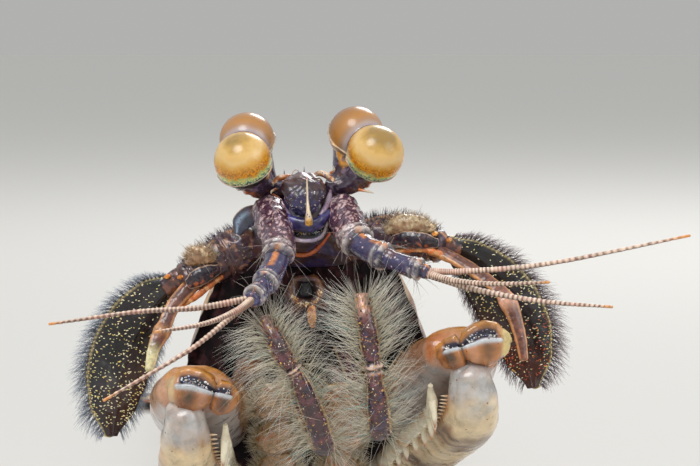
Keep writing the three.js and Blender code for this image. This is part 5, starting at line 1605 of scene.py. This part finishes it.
    # Dark olive on the lower half of the middle of each wrist lobe is painted shade.
    lobe_painted_shade = hump(t, 0.17, 0.09) + hump(t, 0.72, 0.13)
    patchy = 0.75 + 0.25 * lumps(wrist, 0.9, 258)
    colour = painted(
        colour,
        (0x3A2E18, 1.1 * lobe_painted_shade * hump(high, -0.15, 0.5) * front * patchy),
        (ARM_TAN, 0.7 * step(high, 0.55, 0.8)),
        (0xC9862A, rim * 0.9),
    )
    broad = hump(high, 0.3, 0.15 if side < 0 else 0.12) * front * step(t, 0.02, 0.12)
    broad = broad * (1 - step(t, 0.9, 0.99))
    colour = painted(
        colour,
        (0xD9DEE2, broad * 1.2),
        (GROOVE_VIOLET, groove * 1.9),
        (0xE0D08A if side > 0 else 0xC9B48A, 0.7 * step(t, 0.92, 1.0)),
        (0x2A1A1C, 0.9 * hump(t, 0.34, 0.012) * front),
    )
    skins.append((wrist, colour))
    # Pale specks in the wrist's groove are painted glints: bright studs standing in for highlights.
    chance = np.random.default_rng(257)
    pool = np.argwhere(groove > 0.45)
    spots = tuple(pool[chance.integers(0, len(pool), WRIST_PAINTED_GLINTS)].T)
    sizes = chance.uniform(0.06, 0.18, (WRIST_PAINTED_GLINTS, 1)) * [[1.2, 1, 0.6]]
    ways = chance.normal(0, 1, (WRIST_PAINTED_GLINTS, 3))
    tints = chance.choice((0xF4F4F8, 0xB8C4DC, 0xE0D8C8), WRIST_PAINTED_GLINTS)
    skins += studs(wrist[spots], ways, outward(wrist)[spots], sizes, tints)
    model(f"claw_palm_{tag}", skins, claw_cuticle, [f"raptorial_propodus_{tag}"])

    # The finger lies shut along the inner side of the palm, its teeth hanging free.
    blade_path = [p + [-5.2 * side, 0.4, 0.8] for p in (elbow + [side, -5.4, -4.4], *palm_path)][::-1]
    wide, thick = [1.3, 1.1, 1, 0.8, 0.35], [1.6, 1.4, 1.2, 0.9, 0.35]
    dactyl, t, angle = sweep(blade_path, wide, thick, around=48, rows=160)
    dactyl = pushed(dactyl, 0.14 * hump(np.abs(np.cos(angle)), 0, 0.2) + 0.05 * lumps(dactyl, 1.2, 260))
    colour = mixed(TOOTH_CREAM, 0xC9A070, step(lumps(dactyl, 2.2, 261) - t, -0.6, 0.4))
    skins = [(dactyl, mixed(colour, 0x9A5A2A, 0.8 * (1 - step(t, 0, 0.12))))]
    for i in range(TEETH):
        long = 2.6 + 1.2 * i / (TEETH - 1)
        root = smooth_line(blade_path, np.array(0.12 + 0.8 * i / TEETH))
        bend = root + [0.3 * side, -0.9, -0.6 * long]
        point = root + [0.4 * side, -0.5, -long]
        tooth, tt, _ = sweep([root, bend, point], [0.62, 0.4, 0.08], [0.62, 0.4, 0.08], around=20, rows=30)
        skins.append((tooth, mixed(TOOTH_CREAM, 0xB4622A, step(tt, 0.5, 1.0))))
    model(f"claw_finger_{tag}", skins, tooth_cuticle, [f"raptorial_dactyl_{tag}"])

# Lower jaw-legs: three pairs of short limbs under the mouth, each ending in a round flat palm edged with
# cream bristles, with which the animal holds its food.
PALM_HAIRS = 520
for i in range(3):
    for tag, side in SIDES:
        root = on_body(21 + 7.4 * i, 3.4 * side, -8.8)
        knuckle = root + [1.2 * side, i - 9.5, -4.6]
        reach = [root, root + [0.6 * side, -3.4, -4.4], knuckle, knuckle + [-0.4 * side, -2.6, 3.6]]
        wide, thick = [1, 1, 1.1, 2.6, 3, 1.6], [1, 1, 1.1, 1.5, 1.6, 0.9]
        limb, t, angle = sweep(reach, wide, thick, around=FINGER_AROUND, rows=140)
        rolls, grooves = cuffs(t, [0.3, 0.55], 0.014)
        limb = pushed(limb, 0.16 * rolls - 0.2 * grooves + 0.1 * lumps(limb, 1.0, 270 + i))
        colour = painted(
            0x4A3028,
            (0x9A7850, step(t + 0.25 * lumps(limb, 1.2, 274 + i), 0.35, 0.8)),
            (0xA8622E, 0.7 * step(lumps(limb, 0.9, 278 + i), 0.2, 0.6)),
            (0xE0C8A0, 0.8 * step(np.abs(np.cos(angle)), 0.9, 1) * step(t, 0.5, 0.6)),
        )
        stands_for = [f"maxilliped_{3 + i}_{tag}"]
        model(f"jaw_leg_{3 + i}_{tag}", [(limb, colour)], finger_cuticle, stands_for)
        chance = np.random.default_rng(282 + i)
        pick = chance.integers(76, 148, PALM_HAIRS), on_edges(chance, PALM_HAIRS, 5)
        tones = (0xC4AC80, 0xDDD2B8)
        edge = grown((limb, t, angle), pick, (1, 0.5, 0), (0, [0, 0, 0.1]), 1.9, 0.045, tones, 286 + i)
        bristles(f"jaw_leg_{3 + i}_bristles_{tag}", [edge], bristle_chitin, joints=5)

# Walking legs: three slim pairs with dark and cream bands, a thin side branch at the knee and hairy feet.
# They are of the same thin cuticle as the paddles.
FEET = ((26, 24), (30, 40), (29, 56))  # how far out and how far back each pair stands
FOOT_HAIRS = 160
for i, (out, back) in enumerate(FEET):
    for tag, side in SIDES:
        hip = on_body(CHEST_FROM + (1 + i) * (CHEST + SHELL_GAP) + 3.7, 9 * side, -6.2)
        foot = np.array([side * out, back, 0.495])
        knee = (hip + foot) / 2 + [1.5 * side, 0, 1.6]
        reach = [hip, knee, foot + [-3.4 * side, 0, 0.5], foot]
        width = [1.7, 1.5, 1.2, 1, 1.1]
        leg, t, angle = sweep(reach, width, width, (0, 1, 0), around=56, rows=160)
        rolls, grooves = cuffs(t, [0.36, 0.7], 0.014)
        leg = pushed(leg, 0.14 * rolls - 0.2 * grooves + 0.09 * lumps(leg, 1.1, 290 + i))
        leg[..., 2] = np.maximum(leg[..., 2], 0)
        bands = hump(t, 0.2, 0.06) + hump(t, 0.52, 0.07) + hump(t, 0.84, 0.06)
        colour = painted(
            0xA07A50,
            (0x3A2018, bands + 0.3 * lumps(leg, 1.0, 294)),
            (CREAM_BAND, 0.7 * rolls),
        )
        fork = hip + (knee - hip) * 0.8
        branch = [fork, fork + [4 * side, -4.5, -1], fork + [7 * side, -9, -3.4]]
        twig, bt, _ = sweep(branch, [0.6, 0.55, 0.4], [0.6, 0.55, 0.4], (0, 0, 1), around=24, rows=60)
        skins = [(leg, colour), (twig, mixed(0x8A6444, CREAM_BAND, bt))]
        model(f"leg_{1 + i}_{tag}", skins, limb_cuticle, [f"walking_leg_{1 + i}_{tag}"])
        chance = np.random.default_rng(298 + i)
        pick = chance.integers(110, 160, FOOT_HAIRS), chance.integers(0, 56, FOOT_HAIRS)
        tones = (0x6B5560, 0xC9BCA8)
        fuzz = grown((leg, t, angle), pick, (1, 0.8, 0), (0, [0, 0, 0.25]), 0.9, 0.045, tones, 302 + i)
        bristles(f"leg_{1 + i}_bristles_{tag}", [fuzz], bristle_chitin, joints=4)
